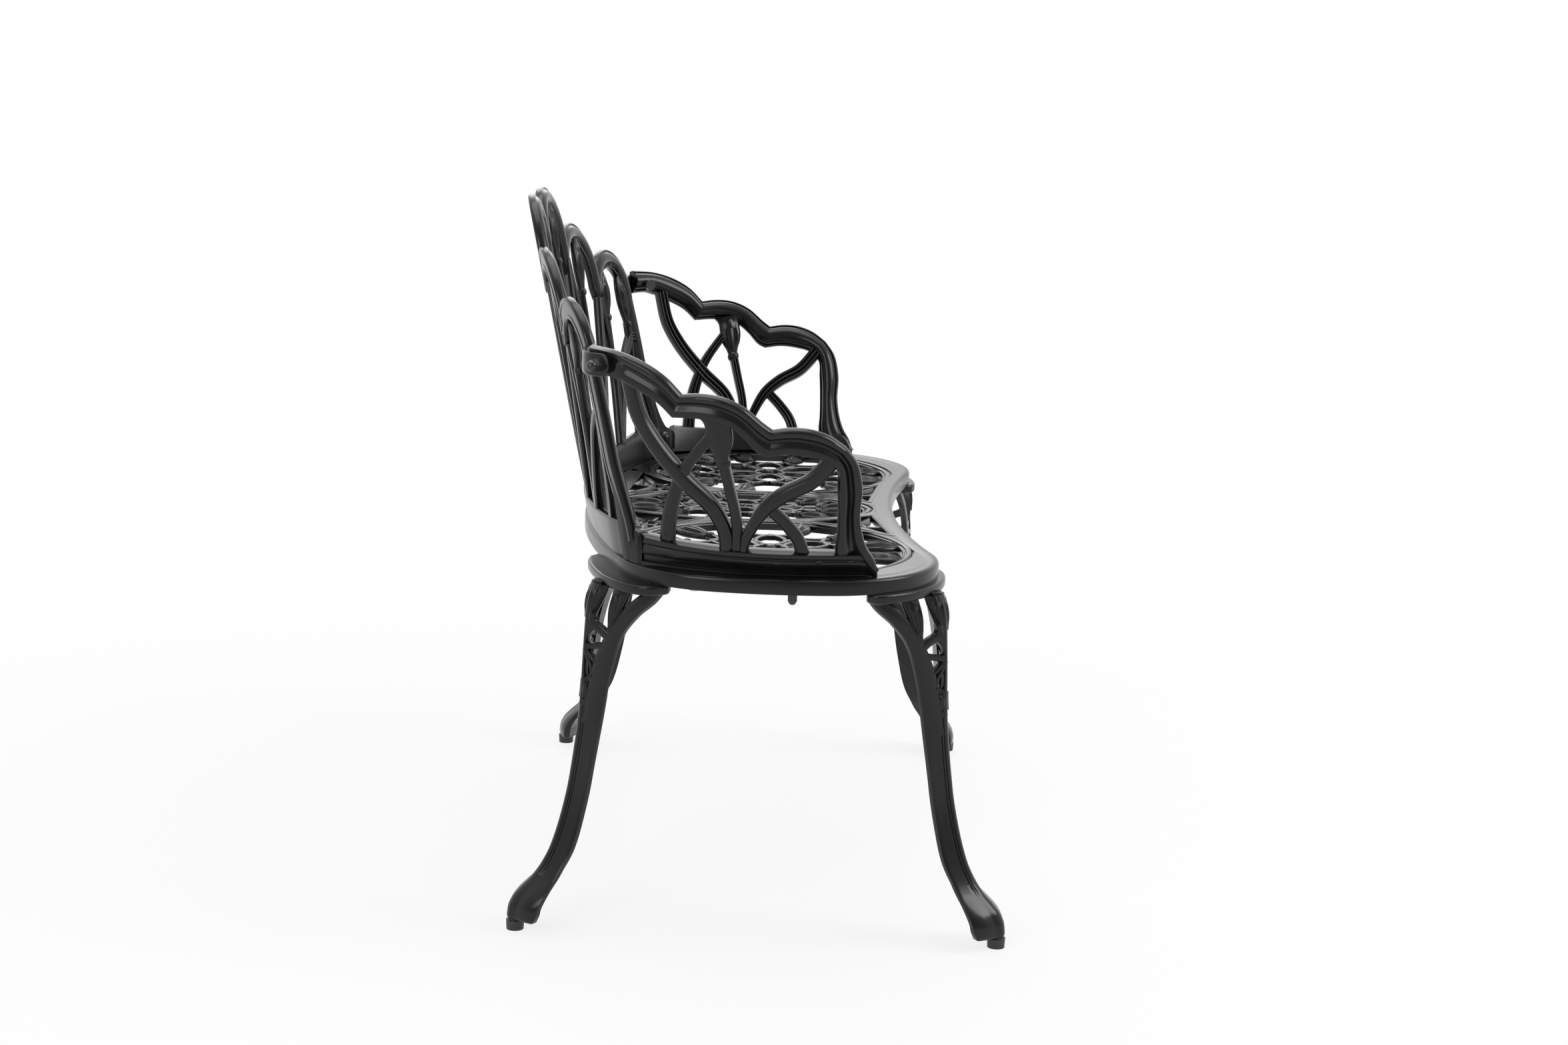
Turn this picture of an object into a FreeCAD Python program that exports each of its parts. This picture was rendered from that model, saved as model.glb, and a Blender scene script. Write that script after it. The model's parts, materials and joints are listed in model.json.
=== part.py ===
"""Cast aluminium garden bench: seat, back, two arms and four cabriole legs bolted together.

Millimetres. +Z is up, X runs along the bench, the sitter looks along -Y. The origin is on
the floor under the middle of the bench. Left and right are the sitter's own.
"""
import FreeCAD, Part
import math
import os

import Sketcher
from FreeCAD import Placement, Rotation, Vector

SIZES = (
    # Seat casting
    ("seat_height", 420, "floor to the top of the seat rim"),
    ("seat_half_length", 450, "middle of the bench to the end of the seat"),
    ("seat_front_reach", 207, "origin forward to the front lobes"),
    ("seat_notch_reach", 170, "origin forward to the notch between the lobes"),
    ("seat_rear_reach", 210, "origin back to the rear edge"),
    ("seat_end_radius", 420, "plan radius of the seat's ends"),
    ("seat_end_ahead", 30, "how far the widest place lies ahead of the origin"),
    ("seat_corner_radius", 140, "plan radius of the lobes and the rear corners"),
    ("seat_rear_radius", 1100, "plan radius of the rear edge"),
    ("seat_plate", 7, "thickness of the rim plate"),
    ("seat_skirt", 17, "height of the skirt with the rim"),
    ("seat_wall", 7, "wall of the skirt"),
    ("seat_boss_radius", 8.5, "bosses under the rim that take the bolts"),
    ("medallion_radius", 151, "clear radius of a round medallion"),
    ("medallion_offset", 262, "middle of the bench to a round medallion's centre"),
    ("medallion_ahead", 17, "how far the round medallions lie ahead of the origin"),
    ("oval_half_width", 84, "clear half width of the middle medallion"),
    ("oval_half_depth", 149, "clear half depth of the middle medallion"),
    ("oval_behind", 17, "how far the middle medallion lies behind the origin"),
    ("lattice_depth", 8, "depth of the ornament bars"),
    ("lattice_bar", 8, "width of the ornament bars"),
    ("spandrel_border", 9, "border left around a spandrel opening"),
    # Back casting
    ("back_lean", 11.6, "lean of the back from upright, degrees"),
    ("back_radius", 1130, "plan radius of the back"),
    ("back_seat_y", 200, "middle of the back's wall at the seat, behind the origin"),
    ("back_wall", 11, "wall of the back's bars and apron"),
    ("back_rim_wall", 14, "thickness of the back's rim"),
    ("back_rim", 25, "width of the back's rim"),
    ("back_apron", 33, "height of the plain apron along the seat"),
    ("lobe_width", 127, "width of each of the three lobes on a side"),
    ("crest_inner", 388, "inner lobe's crest above the seat, up the lean"),
    ("crest_middle", 331, "rise of the middle lobe's crest"),
    ("crest_outer", 280.5, "rise of the outer lobe's crest"),
    ("valley_centre", 340, "rise of the valley between the inner lobes"),
    ("valley_inner", 309, "rise of the valley between inner and middle lobes"),
    ("valley_outer", 243, "rise of the valley between middle and outer lobes"),
    ("post_offset", 368, "middle of the bench to the back's post"),
    ("post_rise", 216, "rise of the post's top above the seat"),
    ("band_width", 13, "width of the leaf bands in back and arms"),
    ("stem_width", 9, "width of the tulip stems"),
    ("tulip_length", 62, "length of a tulip head"),
    ("tulip_width", 27, "width of a tulip head"),
    ("end_plate_wall", 9, "wall of the apron's rounded end plates"),
    ("end_plate_height", 32, "height of the apron's end plates"),
    ("end_plate_inset", 4, "end plates in from the seat's edge"),
    ("end_plate_start", 52, "direction of an end plate's front end from the seat's corner, degrees"),
    ("end_plate_end", 68, "direction of its other end, inside the apron, degrees"),
    ("end_boss_radius", 8.2, "domed boss in the corner of the apron and its end plate"),
    ("end_boss_height", 33.5, "height of that boss with its dome"),
    ("end_boss_angle", 65, "that boss's direction from the seat's rear corner, degrees"),
    ("ear_height", 30, "height of the ear that takes the arm's screw"),
    ("ear_wall", 9, "wall of the ear"),
    # Arm castings
    ("arm_foot_x", 430, "middle of the bench to the arm's bottom rail"),
    ("arm_lean", 20, "outward lean of the arm, degrees"),
    ("arm_radius", 325, "plan radius of the arm"),
    ("arm_wall", 14, "wall of the arm's bands"),
    ("arm_rail_wall", 20, "thickness of the arm's rails"),
    ("arm_rail", 26, "width of the arm's top rail and post"),
    ("arm_bottom_rail", 30, "height of the arm's bottom rail"),
    ("arm_rail_end", 116, "rear end of the arm's bottom rail behind the origin"),
    ("arm_bolt_y", 66, "arm's rear bolt behind the origin"),
    ("arm_stud_ahead", 41, "arm stud ahead of the origin"),
    ("arm_screw_y", 162, "arm-to-back screw behind the origin"),
    ("arm_screw_rise", 227, "that screw's height above the seat"),
    # Legs
    ("front_leg_angle", 64, "front legs point this far off the length, degrees"),
    ("rear_leg_angle", 69, "rear legs point this far off the length, degrees"),
    ("front_knee_reach", 166.4, "corner centre out to a front knee"),
    ("rear_knee_reach", 181, "corner centre out to a rear knee"),
    ("leg_sweep", 85, "how far the hoof's corner lies out from the knee"),
    ("leg_vee", 110, "angle between a leg's two webs, degrees"),
    ("leg_wall", 7, "wall of the leg's webs"),
    ("wing_reach", 98, "length of a web at the flange"),
    ("shank_width", 28, "width of a web at its narrowest"),
    ("hoof_width", 38, "width of a web at the floor end"),
    ("hoof_height", 40, "height of the solid hoof"),
    ("flange_height", 11, "height of the leg's top flange"),
    ("flange_inner", 118, "inner plan radius of the flange"),
    ("flange_lip", 8, "how far the flange stands out past the seat's corner"),
    ("flange_half_angle", 36.5, "half the front flange's arc, degrees"),
    ("rear_flange_start", 41, "direction of the rear flange's front end from the seat's corner, degrees"),
    ("rear_flange_end", 103, "direction of the rear flange's other end, degrees"),
    ("leg_bolt_radius", 131, "corner centre to the leg bolts"),
    ("leg_bolt_angle", 14, "leg bolts either side of the leg's middle, degrees"),
    # Levelling feet
    ("pad_radius", 10.3, "nylon foot pad"),
    ("pad_height", 11, "height of the pad"),
    ("pad_taper", 0.6, "how much narrower the pad is at the floor"),
    ("pad_floor", 3, "nylon under the stud"),
    ("foot_inset", 12, "pad centre in from the hoof's corner"),
    ("stud_radius", 4, "foot stud, nominal M8"),
    ("stud_reach", 14, "stud inside the hoof when screwed home"),
    ("stud_travel_room", 3, "thread depth left above the stud"),
    ("collar_radius", 5.5, "collar that stops the stud at the hoof"),
    ("collar_height", 2, "height of that collar"),
    ("running_fit", 0.08, "radial clearance of the moving threads and pads"),
    # Fasteners
    ("big_bolt_radius", 4, "leg bolts and arm screws, nominal M8"),
    ("small_bolt_radius", 3, "back and arm bolts, nominal M6"),
    ("bolt_fit", 0.1, "radial clearance in tapped holes"),
    ("hole_fit", 0.4, "radial clearance in plain holes"),
    ("big_hex", 7.5, "corner radius of the M8 hexagon"),
    ("small_hex", 5.8, "corner radius of the M6 hexagon"),
    ("big_head", 5.3, "height of the M8 head"),
    ("small_head", 4, "height of the M6 head"),
    ("big_washer", 8, "radius of the M8 washer"),
    ("small_washer", 6.2, "radius of the M6 washer"),
    ("washer_thick", 1.5, "thickness of the washers"),
    ("bolt_bite", 12, "thread taken up in the seat's and castings' holes"),
    ("nut_height", 9, "hexagon of a cap nut"),
    ("back_bolt_inner", 90, "inner back bolts off the middle"),
    ("back_bolt_outer", 235, "outer back bolts off the middle"),
    ("part_gap", 0.5, "clearance between castings that lie side by side"),
)

doc = FreeCAD.newDocument("GardenBench")
dims = doc.addObject("Spreadsheet::Sheet", "dims")
for row, (alias, value, meaning) in enumerate(SIZES, start=1):
    dims.set(f"A{row}", meaning)
    dims.set(f"B{row}", str(value))
    dims.setAlias(f"B{row}", alias)
doc.recompute()

nodes = []


def size(alias):
    """The number in the sheet's cell with this alias."""
    return float(dims.get(alias))


def bind(obj, **expressions):
    """Tie properties of a document object to the sheet."""
    for name, expression in expressions.items():
        obj.setExpression(name.replace("__", "."), expression)
    return obj


def feature(name, shape):
    """A document object that holds a shape worked out from the sheet."""
    obj = doc.addObject("Part::Feature", name)
    obj.Shape = shape
    return obj


def node(obj, name):
    """Name a finished sub-part and list it for export."""
    obj.Label = name
    nodes.append(obj)
    return obj


def polar(centre, radius, degrees):
    """A plan point at an angle from +X around a centre."""
    turn = math.radians(degrees)
    return Vector(centre.x + radius * math.cos(turn), centre.y + radius * math.sin(turn), 0)


# Flat shapes, drawn in a pattern plane and later extruded

def closed(edges):
    """A face inside edges that follow each other."""
    return Part.Face(Part.Wire(edges))


def polygon(*points):
    """A face with straight sides."""
    corners = list(points) + [points[0]]
    return Part.Face(Part.makePolygon(corners))


def strip(start, middle, end, width):
    """A bar of even width whose centre line is the arc through three points."""
    centre = Part.Arc(start, middle, end).toShape().Curve.Center
    inner = []
    outer = []
    for point in (start, middle, end):
        away = (point - centre).normalize()
        inner.append(point - away * (width / 2))
        outer.append(point + away * (width / 2))
    return closed([
        Part.Arc(*outer).toShape(),
        Part.makeLine(outer[2], inner[2]),
        Part.Arc(inner[2], inner[1], inner[0]).toShape(),
        Part.makeLine(inner[0], outer[0]),
    ])


def bowed(start, end, bow, width):
    """A strip from start to end whose middle stands off to the left by bow."""
    along = end - start
    left = Vector(-along.y, along.x, 0).normalize()
    return strip(start, (start + end) * 0.5 + left * bow, end, width)


def lens(start, end, width):
    """A pointed leaf or tulip head between two points."""
    along = end - start
    left = Vector(-along.y, along.x, 0).normalize() * (width / 2)
    middle = (start + end) * 0.5
    return closed([
        Part.Arc(start, middle + left, end).toShape(),
        Part.Arc(end, middle - left, start).toShape(),
    ])


def disc(centre, radius):
    """A round face."""
    return Part.Face(Part.Wire(Part.makeCircle(radius, centre)))


def prism(faces, depth):
    """Faces of one plane extruded along +Z and joined."""
    bars = [face.extrude(Vector(0, 0, depth)) for face in faces]
    if len(bars) == 1:
        return bars[0]
    return bars[0].multiFuse(bars[1:]).removeSplitter()


def upright(centre, radius, low, high):
    """A vertical round bar between two heights."""
    return Part.makeCylinder(radius, high - low, Vector(centre.x, centre.y, low))


# Seat outline: five tangent arcs on each side of the middle

seat_top = size("seat_height")
skirt_low = seat_top - size("seat_skirt")
corner = size("seat_corner_radius")
end_radius = size("seat_end_radius")
rear_radius = size("seat_rear_radius")
end_centre = Vector(size("seat_half_length") - end_radius, -size("seat_end_ahead"), 0)
rear_centre = Vector(0, size("seat_rear_reach") - rear_radius, 0)


def meeting(first, first_radius, second, second_radius):
    """The right-hand point where two plan circles cross."""
    apart = second - first
    gap = apart.Length
    along = (first_radius ** 2 - second_radius ** 2 + gap ** 2) / (2 * gap)
    aside = math.sqrt(first_radius ** 2 - along ** 2)
    unit = apart.normalize()
    foot = first + unit * along
    across = Vector(-unit.y, unit.x, 0) * aside
    return max(foot + across, foot - across, key=lambda point: point.x)


lobe_y = corner - size("seat_front_reach")
lobe_drop = lobe_y - end_centre.y
lobe_x = end_centre.x + math.sqrt((end_radius - corner) ** 2 - lobe_drop ** 2)
front_corner = Vector(lobe_x, lobe_y, 0)
rear_corner = meeting(rear_centre, rear_radius - corner, end_centre, end_radius - corner)
notch_rise = lobe_y + size("seat_notch_reach")
notch_radius = (lobe_x ** 2 + notch_rise ** 2 - corner ** 2) / (2 * (corner - notch_rise))
notch_centre = Vector(0, -size("seat_notch_reach") - notch_radius, 0)


def toward(centre, target, radius):
    """The point of a circle that faces a target."""
    return centre + (target - centre).normalize() * radius


def beyond(centre, inner, radius):
    """The point where a circle touches a smaller one that lies inside it."""
    return toward(centre, inner, radius)


def mirrored(point):
    """The point's mirror image across the middle of the bench."""
    return Vector(-point.x, point.y, point.z)


def arc_between(centre, radius, start, end):
    """The shorter arc of a circle between two of its points."""
    half = ((start - centre).normalize() + (end - centre).normalize()).normalize()
    return Part.Arc(start, centre + half * radius, end).toShape()


def outline(inset):
    """The seat's plan outline, moved inward by inset."""
    tight = corner - inset
    notch = toward(notch_centre, front_corner, notch_radius + inset)
    lobe = beyond(end_centre, front_corner, end_radius - inset)
    heel = beyond(end_centre, rear_corner, end_radius - inset)
    rear = beyond(rear_centre, rear_corner, rear_radius - inset)
    front_middle = Vector(0, inset - size("seat_notch_reach"), 0)
    rear_middle = Vector(0, size("seat_rear_reach") - inset, 0)
    lobe_tip = front_corner + ((notch - front_corner).normalize()
                               + (lobe - front_corner).normalize()).normalize() * tight
    end_tip = arc_between(end_centre, end_radius - inset, lobe, heel)
    edges = [
        Part.Arc(mirrored(notch), front_middle, notch).toShape(),
        Part.Arc(notch, lobe_tip, lobe).toShape(),
        end_tip,
        arc_between(rear_corner, tight, heel, rear),
        Part.Arc(rear, rear_middle, mirrored(rear)).toShape(),
        arc_between(mirrored(rear_corner), tight, mirrored(rear), mirrored(heel)),
        arc_between(mirrored(end_centre), end_radius - inset, mirrored(heel), mirrored(lobe)),
        Part.Arc(mirrored(lobe), mirrored(lobe_tip), mirrored(notch)).toShape(),
    ]
    return closed(edges)


# Places that several pieces share

arm_lean = math.radians(size("arm_lean"))
arm_middle_y = -size("seat_end_ahead")


def arm_x(y, z):
    """Distance from the bench's middle to the arm's wall at a place."""
    sink = 1 - math.sqrt(1 - ((y - arm_middle_y) / size("arm_radius")) ** 2)
    rise = z - seat_top - size("arm_bottom_rail") / 2
    return size("arm_foot_x") + rise * math.tan(arm_lean) - size("arm_radius") / math.cos(arm_lean) * sink


def back_y(x, z):
    """Distance behind the origin of the middle of the back's wall at a place."""
    lean = math.radians(size("back_lean"))
    return size("back_seat_y") - x ** 2 / (2 * size("back_radius")) + (z - seat_top) * math.tan(lean)


bolt_y = size("arm_bolt_y")
arm_bolt = Vector(arm_x(bolt_y, seat_top + size("bolt_bite") / 2), bolt_y, 0)
stud_y = -size("arm_stud_ahead")
arm_stud = Vector(arm_x(stud_y, seat_top + size("bolt_bite")), stud_y, 0)
back_bolts = [Vector(x, back_y(x, seat_top + size("bolt_bite") / 2), 0)
              for x in (size("back_bolt_inner"), size("back_bolt_outer"))]
leg_turns = {
    "front_left": (front_corner, -size("front_leg_angle"), size("front_knee_reach")),
    "front_right": (mirrored(front_corner), 180 + size("front_leg_angle"), size("front_knee_reach")),
    "rear_left": (rear_corner, size("rear_leg_angle"), size("rear_knee_reach")),
    "rear_right": (mirrored(rear_corner), 180 - size("rear_leg_angle"), size("rear_knee_reach")),
}
leg_bolts = [polar(centre, size("leg_bolt_radius"), turn + side * size("leg_bolt_angle"))
             for centre, turn, knee in leg_turns.values() for side in (-1, 1)]


def both_sides(points):
    """The points and their mirror images."""
    return list(points) + [mirrored(point) for point in points]


# Seat casting

def medallion(centre, half_width, half_depth):
    """Ornament of one medallion: a ring of tulips, two rings and a rosette of leaves."""
    bar = size("lattice_bar")
    bars = []
    petals = 12

    def spot(share, degrees):
        turn = math.radians(degrees)
        return centre + Vector(share * half_width * math.cos(turn), share * half_depth * math.sin(turn), 0)

    def band(share):
        outer = Part.Ellipse(centre, half_depth * share, half_width * share)
        hole = Part.Ellipse(centre, half_depth * share - bar, half_width * share - bar)
        faces = []
        for curve in (outer, hole):
            face = Part.Face(Part.Wire(curve.toShape()))
            face.rotate(centre, Vector(0, 0, 1), 90)
            faces.append(face)
        return faces[0].cut(faces[1]).Faces[0]

    bars.append(band(0.68))
    bars.append(band(0.3))
    for count in range(petals):
        degrees = 360 / petals * (count + 0.5)
        bars.append(lens(spot(0.58, degrees), spot(1.03, degrees), size("tulip_width") * 0.8))
        for side in (-1, 1):
            bars.append(bowed(spot(0.25, degrees), spot(0.65, degrees + 30 * side), -bar * side, bar))
    bars.append(disc(centre, half_width * 0.14))
    for count in range(4):
        bars.append(lens(centre, spot(0.27, 45 + 90 * count), bar * 1.5))
    return bars


def oval_face(grow):
    """The middle medallion's opening, grown by a border."""
    middle = Vector(0, size("oval_behind"), 0)
    curve = Part.Ellipse(middle, size("oval_half_depth") + grow, size("oval_half_width") + grow)
    face = Part.Face(Part.Wire(curve.toShape()))
    face.rotate(middle, Vector(0, 0, 1), 90)
    return face


def spandrels():
    """The four triangular openings between the medallions and the rim, as faces."""
    border = size("spandrel_border")
    reach = size("medallion_radius") + border * 2
    side = Vector(size("medallion_offset"), -size("medallion_ahead"), 0)
    field = outline(size("seat_wall") + border * 3).cut(disc(side, reach))
    field = field.cut(disc(mirrored(side), reach)).cut(oval_face(border * 2))
    limit = size("medallion_offset") * 0.75
    return [face for face in field.Faces if abs(face.CenterOfMass.x) < limit]


def seat_shape():
    """Rim plate with a skirt, medallion and spandrel openings, ornament and bosses."""
    plate_low = seat_top - size("seat_plate")
    body = prism([outline(0)], size("seat_skirt"))
    body.translate(Vector(0, 0, skirt_low))
    hollow = prism([outline(size("seat_wall"))], size("seat_skirt") - size("seat_plate"))
    hollow.translate(Vector(0, 0, skirt_low))
    body = body.cut(hollow)
    side = Vector(size("medallion_offset"), -size("medallion_ahead"), 0)
    middle = Vector(0, size("oval_behind"), 0)
    round_size = size("medallion_radius")
    openings = [disc(side, round_size), disc(mirrored(side), round_size), oval_face(0)] + spandrels()
    for face in openings:
        hole = face.extrude(Vector(0, 0, size("seat_skirt")))
        hole.translate(Vector(0, 0, skirt_low))
        body = body.cut(hole)
    ornament = []
    for centre, width, depth in ((side, round_size, round_size), (mirrored(side), round_size, round_size),
                                 (middle, size("oval_half_width"), size("oval_half_depth"))):
        lattice = prism(medallion(centre, width, depth), size("lattice_depth"))
        lattice.translate(Vector(0, 0, seat_top - size("lattice_depth")))
        ornament.append(lattice)
    places = both_sides(back_bolts + [arm_bolt, arm_stud]) + leg_bolts
    bosses = [upright(place, size("seat_boss_radius"), skirt_low, plate_low + 1) for place in places]
    body = body.multiFuse(ornament + bosses)
    through = size("small_bolt_radius") + size("hole_fit")
    for place in both_sides(back_bolts + [arm_bolt, arm_stud]):
        body = body.cut(upright(place, through, skirt_low, seat_top))
    tapped = size("big_bolt_radius") + size("bolt_fit")
    for place in leg_bolts:
        body = body.cut(upright(place, tapped, skirt_low, skirt_low + size("bolt_bite") + 1))
    return body


node(feature("seat_casting", seat_shape()), "seat_panel")


# Back casting, drawn flat with x along the bench and y up the lean, then bent and leaned

def back_rim_faces():
    """Rim of three lobes and a post on the left half, and its mirror image."""
    width = size("lobe_width")
    half = size("back_rim") / 2
    post = size("post_offset")
    tops = [
        (0, size("valley_centre") - half, width * 0.5, size("crest_inner") - half,
         width, size("valley_inner") - half),
        (width, size("valley_inner") - half, width * 1.47, size("crest_middle") - half,
         width * 2, size("valley_outer") - half),
        (width * 2, size("valley_outer") - half, width * 2.5, size("crest_outer") - half,
         post, size("post_rise")),
    ]
    faces = []
    for x1, y1, x2, y2, x3, y3 in tops:
        faces.append(strip(Vector(x1, y1, 0), Vector(x2, y2, 0), Vector(x3, y3, 0), size("back_rim")))
    foot = size("back_apron") / 2
    rise = size("post_rise")
    faces.append(polygon(Vector(post - half, foot, 0), Vector(post + half, foot, 0),
                         Vector(post + half, rise, 0), Vector(post - half, rise, 0)))
    for x in (width, width * 2):
        valley = size("valley_inner") if x == width else size("valley_outer")
        faces.append(disc(Vector(x, valley - half, 0), half))
    faces.append(disc(Vector(0, size("valley_centre") - half, 0), half))
    faces.append(disc(Vector(post, size("post_rise"), 0), half))
    return faces


def back_ornament_faces():
    """Tulips, stems and leaf bands of the left half."""
    width = size("lobe_width")
    band = size("band_width")
    base = size("back_apron") - 6
    rim = size("back_rim")
    head = size("tulip_length")
    tulips = [
        (width * 0.5, size("crest_inner") - rim, width * 0.5, 6),
        (width * 1.45, size("crest_middle") - rim, width * 1.15, 12),
        (width * 2.25, size("crest_outer") - rim - 8, width * 1.9, 12),
        (width * 2.72, size("crest_outer") - rim - 14, width * 2.45, 12),
    ]
    faces = []
    for x, top, foot, bow in tulips:
        knob = Vector(x, top - head, 0)
        faces.append(lens(Vector(x, top + 4, 0), knob, size("tulip_width")))
        faces.append(disc(knob, size("stem_width") * 0.75))
        faces.append(bowed(knob, Vector(foot, base, 0), bow, size("stem_width")))
    valley = size("valley_inner") - rim
    outer = size("valley_outer") - rim
    post = size("post_offset")
    bands = [
        ((4, size("valley_centre") - rim), (width * 0.24, 184), (width * 0.5, base)),
        ((width - 2, valley), (width * 0.79, 174), (width * 0.5, base)),
        ((width + 3, valley), (width * 1.18, 184), (width * 1.17, base)),
        ((width * 2 - 4, outer), (width * 1.7, 143), (width * 1.17, base)),
        ((width * 2 + 3, outer), (width * 2.07, 143), (width * 1.86, base)),
        ((post - 22, 146), (post - 11, 156), (post, 158)),
        ((post, 118), (width * 2.36, 106), (width * 1.86, base)),
    ]
    for points in bands:
        faces.append(strip(*[Vector(x, y, 0) for x, y in points], band))
    return faces


def half_turned(faces):
    """Faces and their mirror images across the plane x = 0."""
    return faces + [face.mirror(Vector(0, 0, 0), Vector(1, 0, 0)) for face in faces]


back_depth = 2 * size("back_rim_wall") + size("post_offset") ** 2 / size("back_radius")
back_rest = Placement(Vector(0, size("back_seat_y"), seat_top),
                      Rotation(Vector(1, 0, 0), 90 - size("back_lean")))


def back_sheet(wall_alias, name):
    """A bent sheet of even wall that the back's pattern is cut from."""
    outer = bind(doc.addObject("Part::Cylinder", name + "_outer"),
                 Radius=f"dims.back_radius + dims.{wall_alias} / 2", Height="dims.crest_inner * 2")
    inner = bind(doc.addObject("Part::Cylinder", name + "_inner"),
                 Radius=f"dims.back_radius - dims.{wall_alias} / 2", Height="dims.crest_inner * 2")
    for part in (outer, inner):
        bind(part, Placement__Base__z="dims.back_radius", Placement__Base__y="dims.crest_inner * 1.5",
             Placement__Rotation__Angle="90", Placement__Rotation__Axis__x="1",
             Placement__Rotation__Axis__y="0", Placement__Rotation__Axis__z="0")
    sheet = doc.addObject("Part::Cut", name)
    sheet.Base = outer
    sheet.Tool = inner
    return sheet


def bent(name, faces, sheet):
    """The part of a bent sheet that lies on the pattern."""
    bars = prism(half_turned(faces), back_depth)
    bars.translate(Vector(0, 0, -size("back_rim_wall")))
    pattern = feature(name + "_pattern", bars)
    common = doc.addObject("Part::Common", name)
    common.Base = sheet
    common.Tool = pattern
    return common


apron_half = size("post_offset") + size("back_rim") / 2
apron = polygon(Vector(0, -40, 0), Vector(apron_half, -40, 0),
                Vector(apron_half, size("back_apron"), 0), Vector(0, size("back_apron"), 0))
back_rim = bent("back_rim_bars", back_rim_faces(), back_sheet("back_rim_wall", "back_rim_sheet"))
back_bars = bent("back_ornament", back_ornament_faces() + [apron], back_sheet("back_wall", "back_sheet"))
doc.recompute()

screw_z = seat_top + size("arm_screw_rise")
screw_y = size("arm_screw_y")
screw_turn = math.asin((screw_y - arm_middle_y) / size("arm_radius"))
screw_out = Vector(math.cos(screw_turn), math.sin(screw_turn), 0)
screw_back = Vector(-screw_out.y, screw_out.x, 0)
screw_spot = Vector(arm_x(screw_y, screw_z), screw_y, 0)
rail_half = size("arm_rail_wall") / 2
ear_far = rail_half + size("ear_wall")
tab_half = size("ear_height") / 2


def ear_shape():
    """A bent plate from the left post to the outer face of the arm's end."""
    post_x = size("post_offset")
    post_y = back_y(post_x, screw_z)
    half = size("ear_wall") * 0.65
    front = screw_back * -tab_half
    rear = screw_back * tab_half
    face = polygon(screw_spot + screw_out * rail_half + front, screw_spot + screw_out * ear_far + front,
                   screw_spot + screw_out * ear_far + rear, Vector(post_x, post_y + half, 0),
                   Vector(post_x, post_y - half, 0), screw_spot + screw_out * rail_half + rear)
    plate = prism([face], size("ear_height"))
    plate.translate(Vector(0, 0, screw_z - size("ear_height") / 2))
    hole = Part.makeCylinder(size("big_bolt_radius") + size("hole_fit"), ear_far * 2,
                             screw_spot + Vector(0, 0, screw_z), screw_out)
    return plate.cut(hole)


def plan_ring(centre, inner, outer, start, end, low, high):
    """A piece of a vertical ring between two radii, two angles and two heights."""
    turns = (start, (start + end) / 2, end)
    outside = [polar(centre, outer, turn) for turn in turns]
    inside = [polar(centre, inner, turn) for turn in reversed(turns)]
    face = closed([
        Part.Arc(*outside).toShape(),
        Part.makeLine(outside[-1], inside[0]),
        Part.Arc(*inside).toShape(),
        Part.makeLine(inside[-1], outside[0]),
    ])
    ring = prism([face], high - low)
    ring.translate(Vector(0, 0, low))
    return ring


plate_outer = corner - size("end_plate_inset")
plate_inner = plate_outer - size("end_plate_wall")


def end_plate(grow):
    """The apron's left end plate, round the seat's rear corner, grown by a clearance."""
    return plan_ring(rear_corner, plate_inner - grow, plate_outer + grow, size("end_plate_start") - grow,
                     size("end_plate_end"), seat_top, seat_top + size("end_plate_height") + grow)


def both_halves(shape):
    """A shape and its mirror image across the middle of the bench."""
    return [shape, shape.mirror(Vector(0, 0, 0), Vector(1, 0, 0))]


def end_boss():
    """The left domed boss on the seat, in the corner of the apron and its end plate."""
    radius = size("end_boss_radius")
    spot = polar(rear_corner, plate_inner - radius / 2, size("end_boss_angle"))
    top = seat_top + size("end_boss_height") - radius
    return upright(spot, radius, seat_top, top).fuse(Part.makeSphere(radius, spot + Vector(0, 0, top)))


def back_shape():
    """Rim, ornament and apron, leaned and cut level on the seat, with ears, end plates and bosses."""
    bars = back_rim.Shape.fuse(back_bars.Shape)
    bars.Placement = back_rest
    wide = 2 * apron_half
    under = Part.makeBox(2 * wide, 2 * wide, seat_top, Vector(-wide, -wide, 0))
    bars = bars.cut(under)
    body = bars.multiFuse(both_halves(ear_shape()) + both_halves(end_plate(0)) + both_halves(end_boss()))
    tapped = size("small_bolt_radius") + size("bolt_fit")
    for place in both_sides(back_bolts):
        body = body.cut(upright(place, tapped, seat_top - 1, seat_top + size("bolt_bite") + 1))
    return body.removeSplitter()


node(feature("back_casting", back_shape()), "backrest")


# Arm castings, drawn in the side view with x for the bench's y and y for height above the seat

def arm_rail_faces():
    """Top rail with three lobes, front post with its foot, and bottom rail."""
    wide = size("arm_rail")
    half = wide / 2
    low = size("arm_bottom_rail") / 2
    rise = size("arm_screw_rise")
    rear = Vector(screw_y + tab_half, rise + 4, 0)
    first = Vector(87, 190, 0)
    second = Vector(-10, 154.5, 0)
    shoulder = Vector(-84, 141, 0)
    knee = Vector(-97.5, 72, 0)
    foot = Vector(-114, 10, 0)
    faces = [
        strip(rear, Vector(128, 219, 0), first, wide),
        strip(first, Vector(43, 189, 0), second, wide),
        strip(second, Vector(-50, 156, 0), shoulder, wide),
        strip(shoulder, Vector(-97, 107, 0), knee, wide),
        strip(knee, Vector(-101, 38, 0), foot, wide),
        disc(first, half), disc(second, half), disc(shoulder, half), disc(knee, half),
        polygon(Vector(-132, -20, 0), Vector(-92, -20, 0), Vector(-94, 2 * low, 0), Vector(-118, 22, 0)),
        polygon(Vector(-124, -20, 0), Vector(size("arm_rail_end"), -20, 0),
                Vector(size("arm_rail_end"), 2 * low, 0), Vector(-110, 2 * low, 0)),
    ]
    return faces


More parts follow.
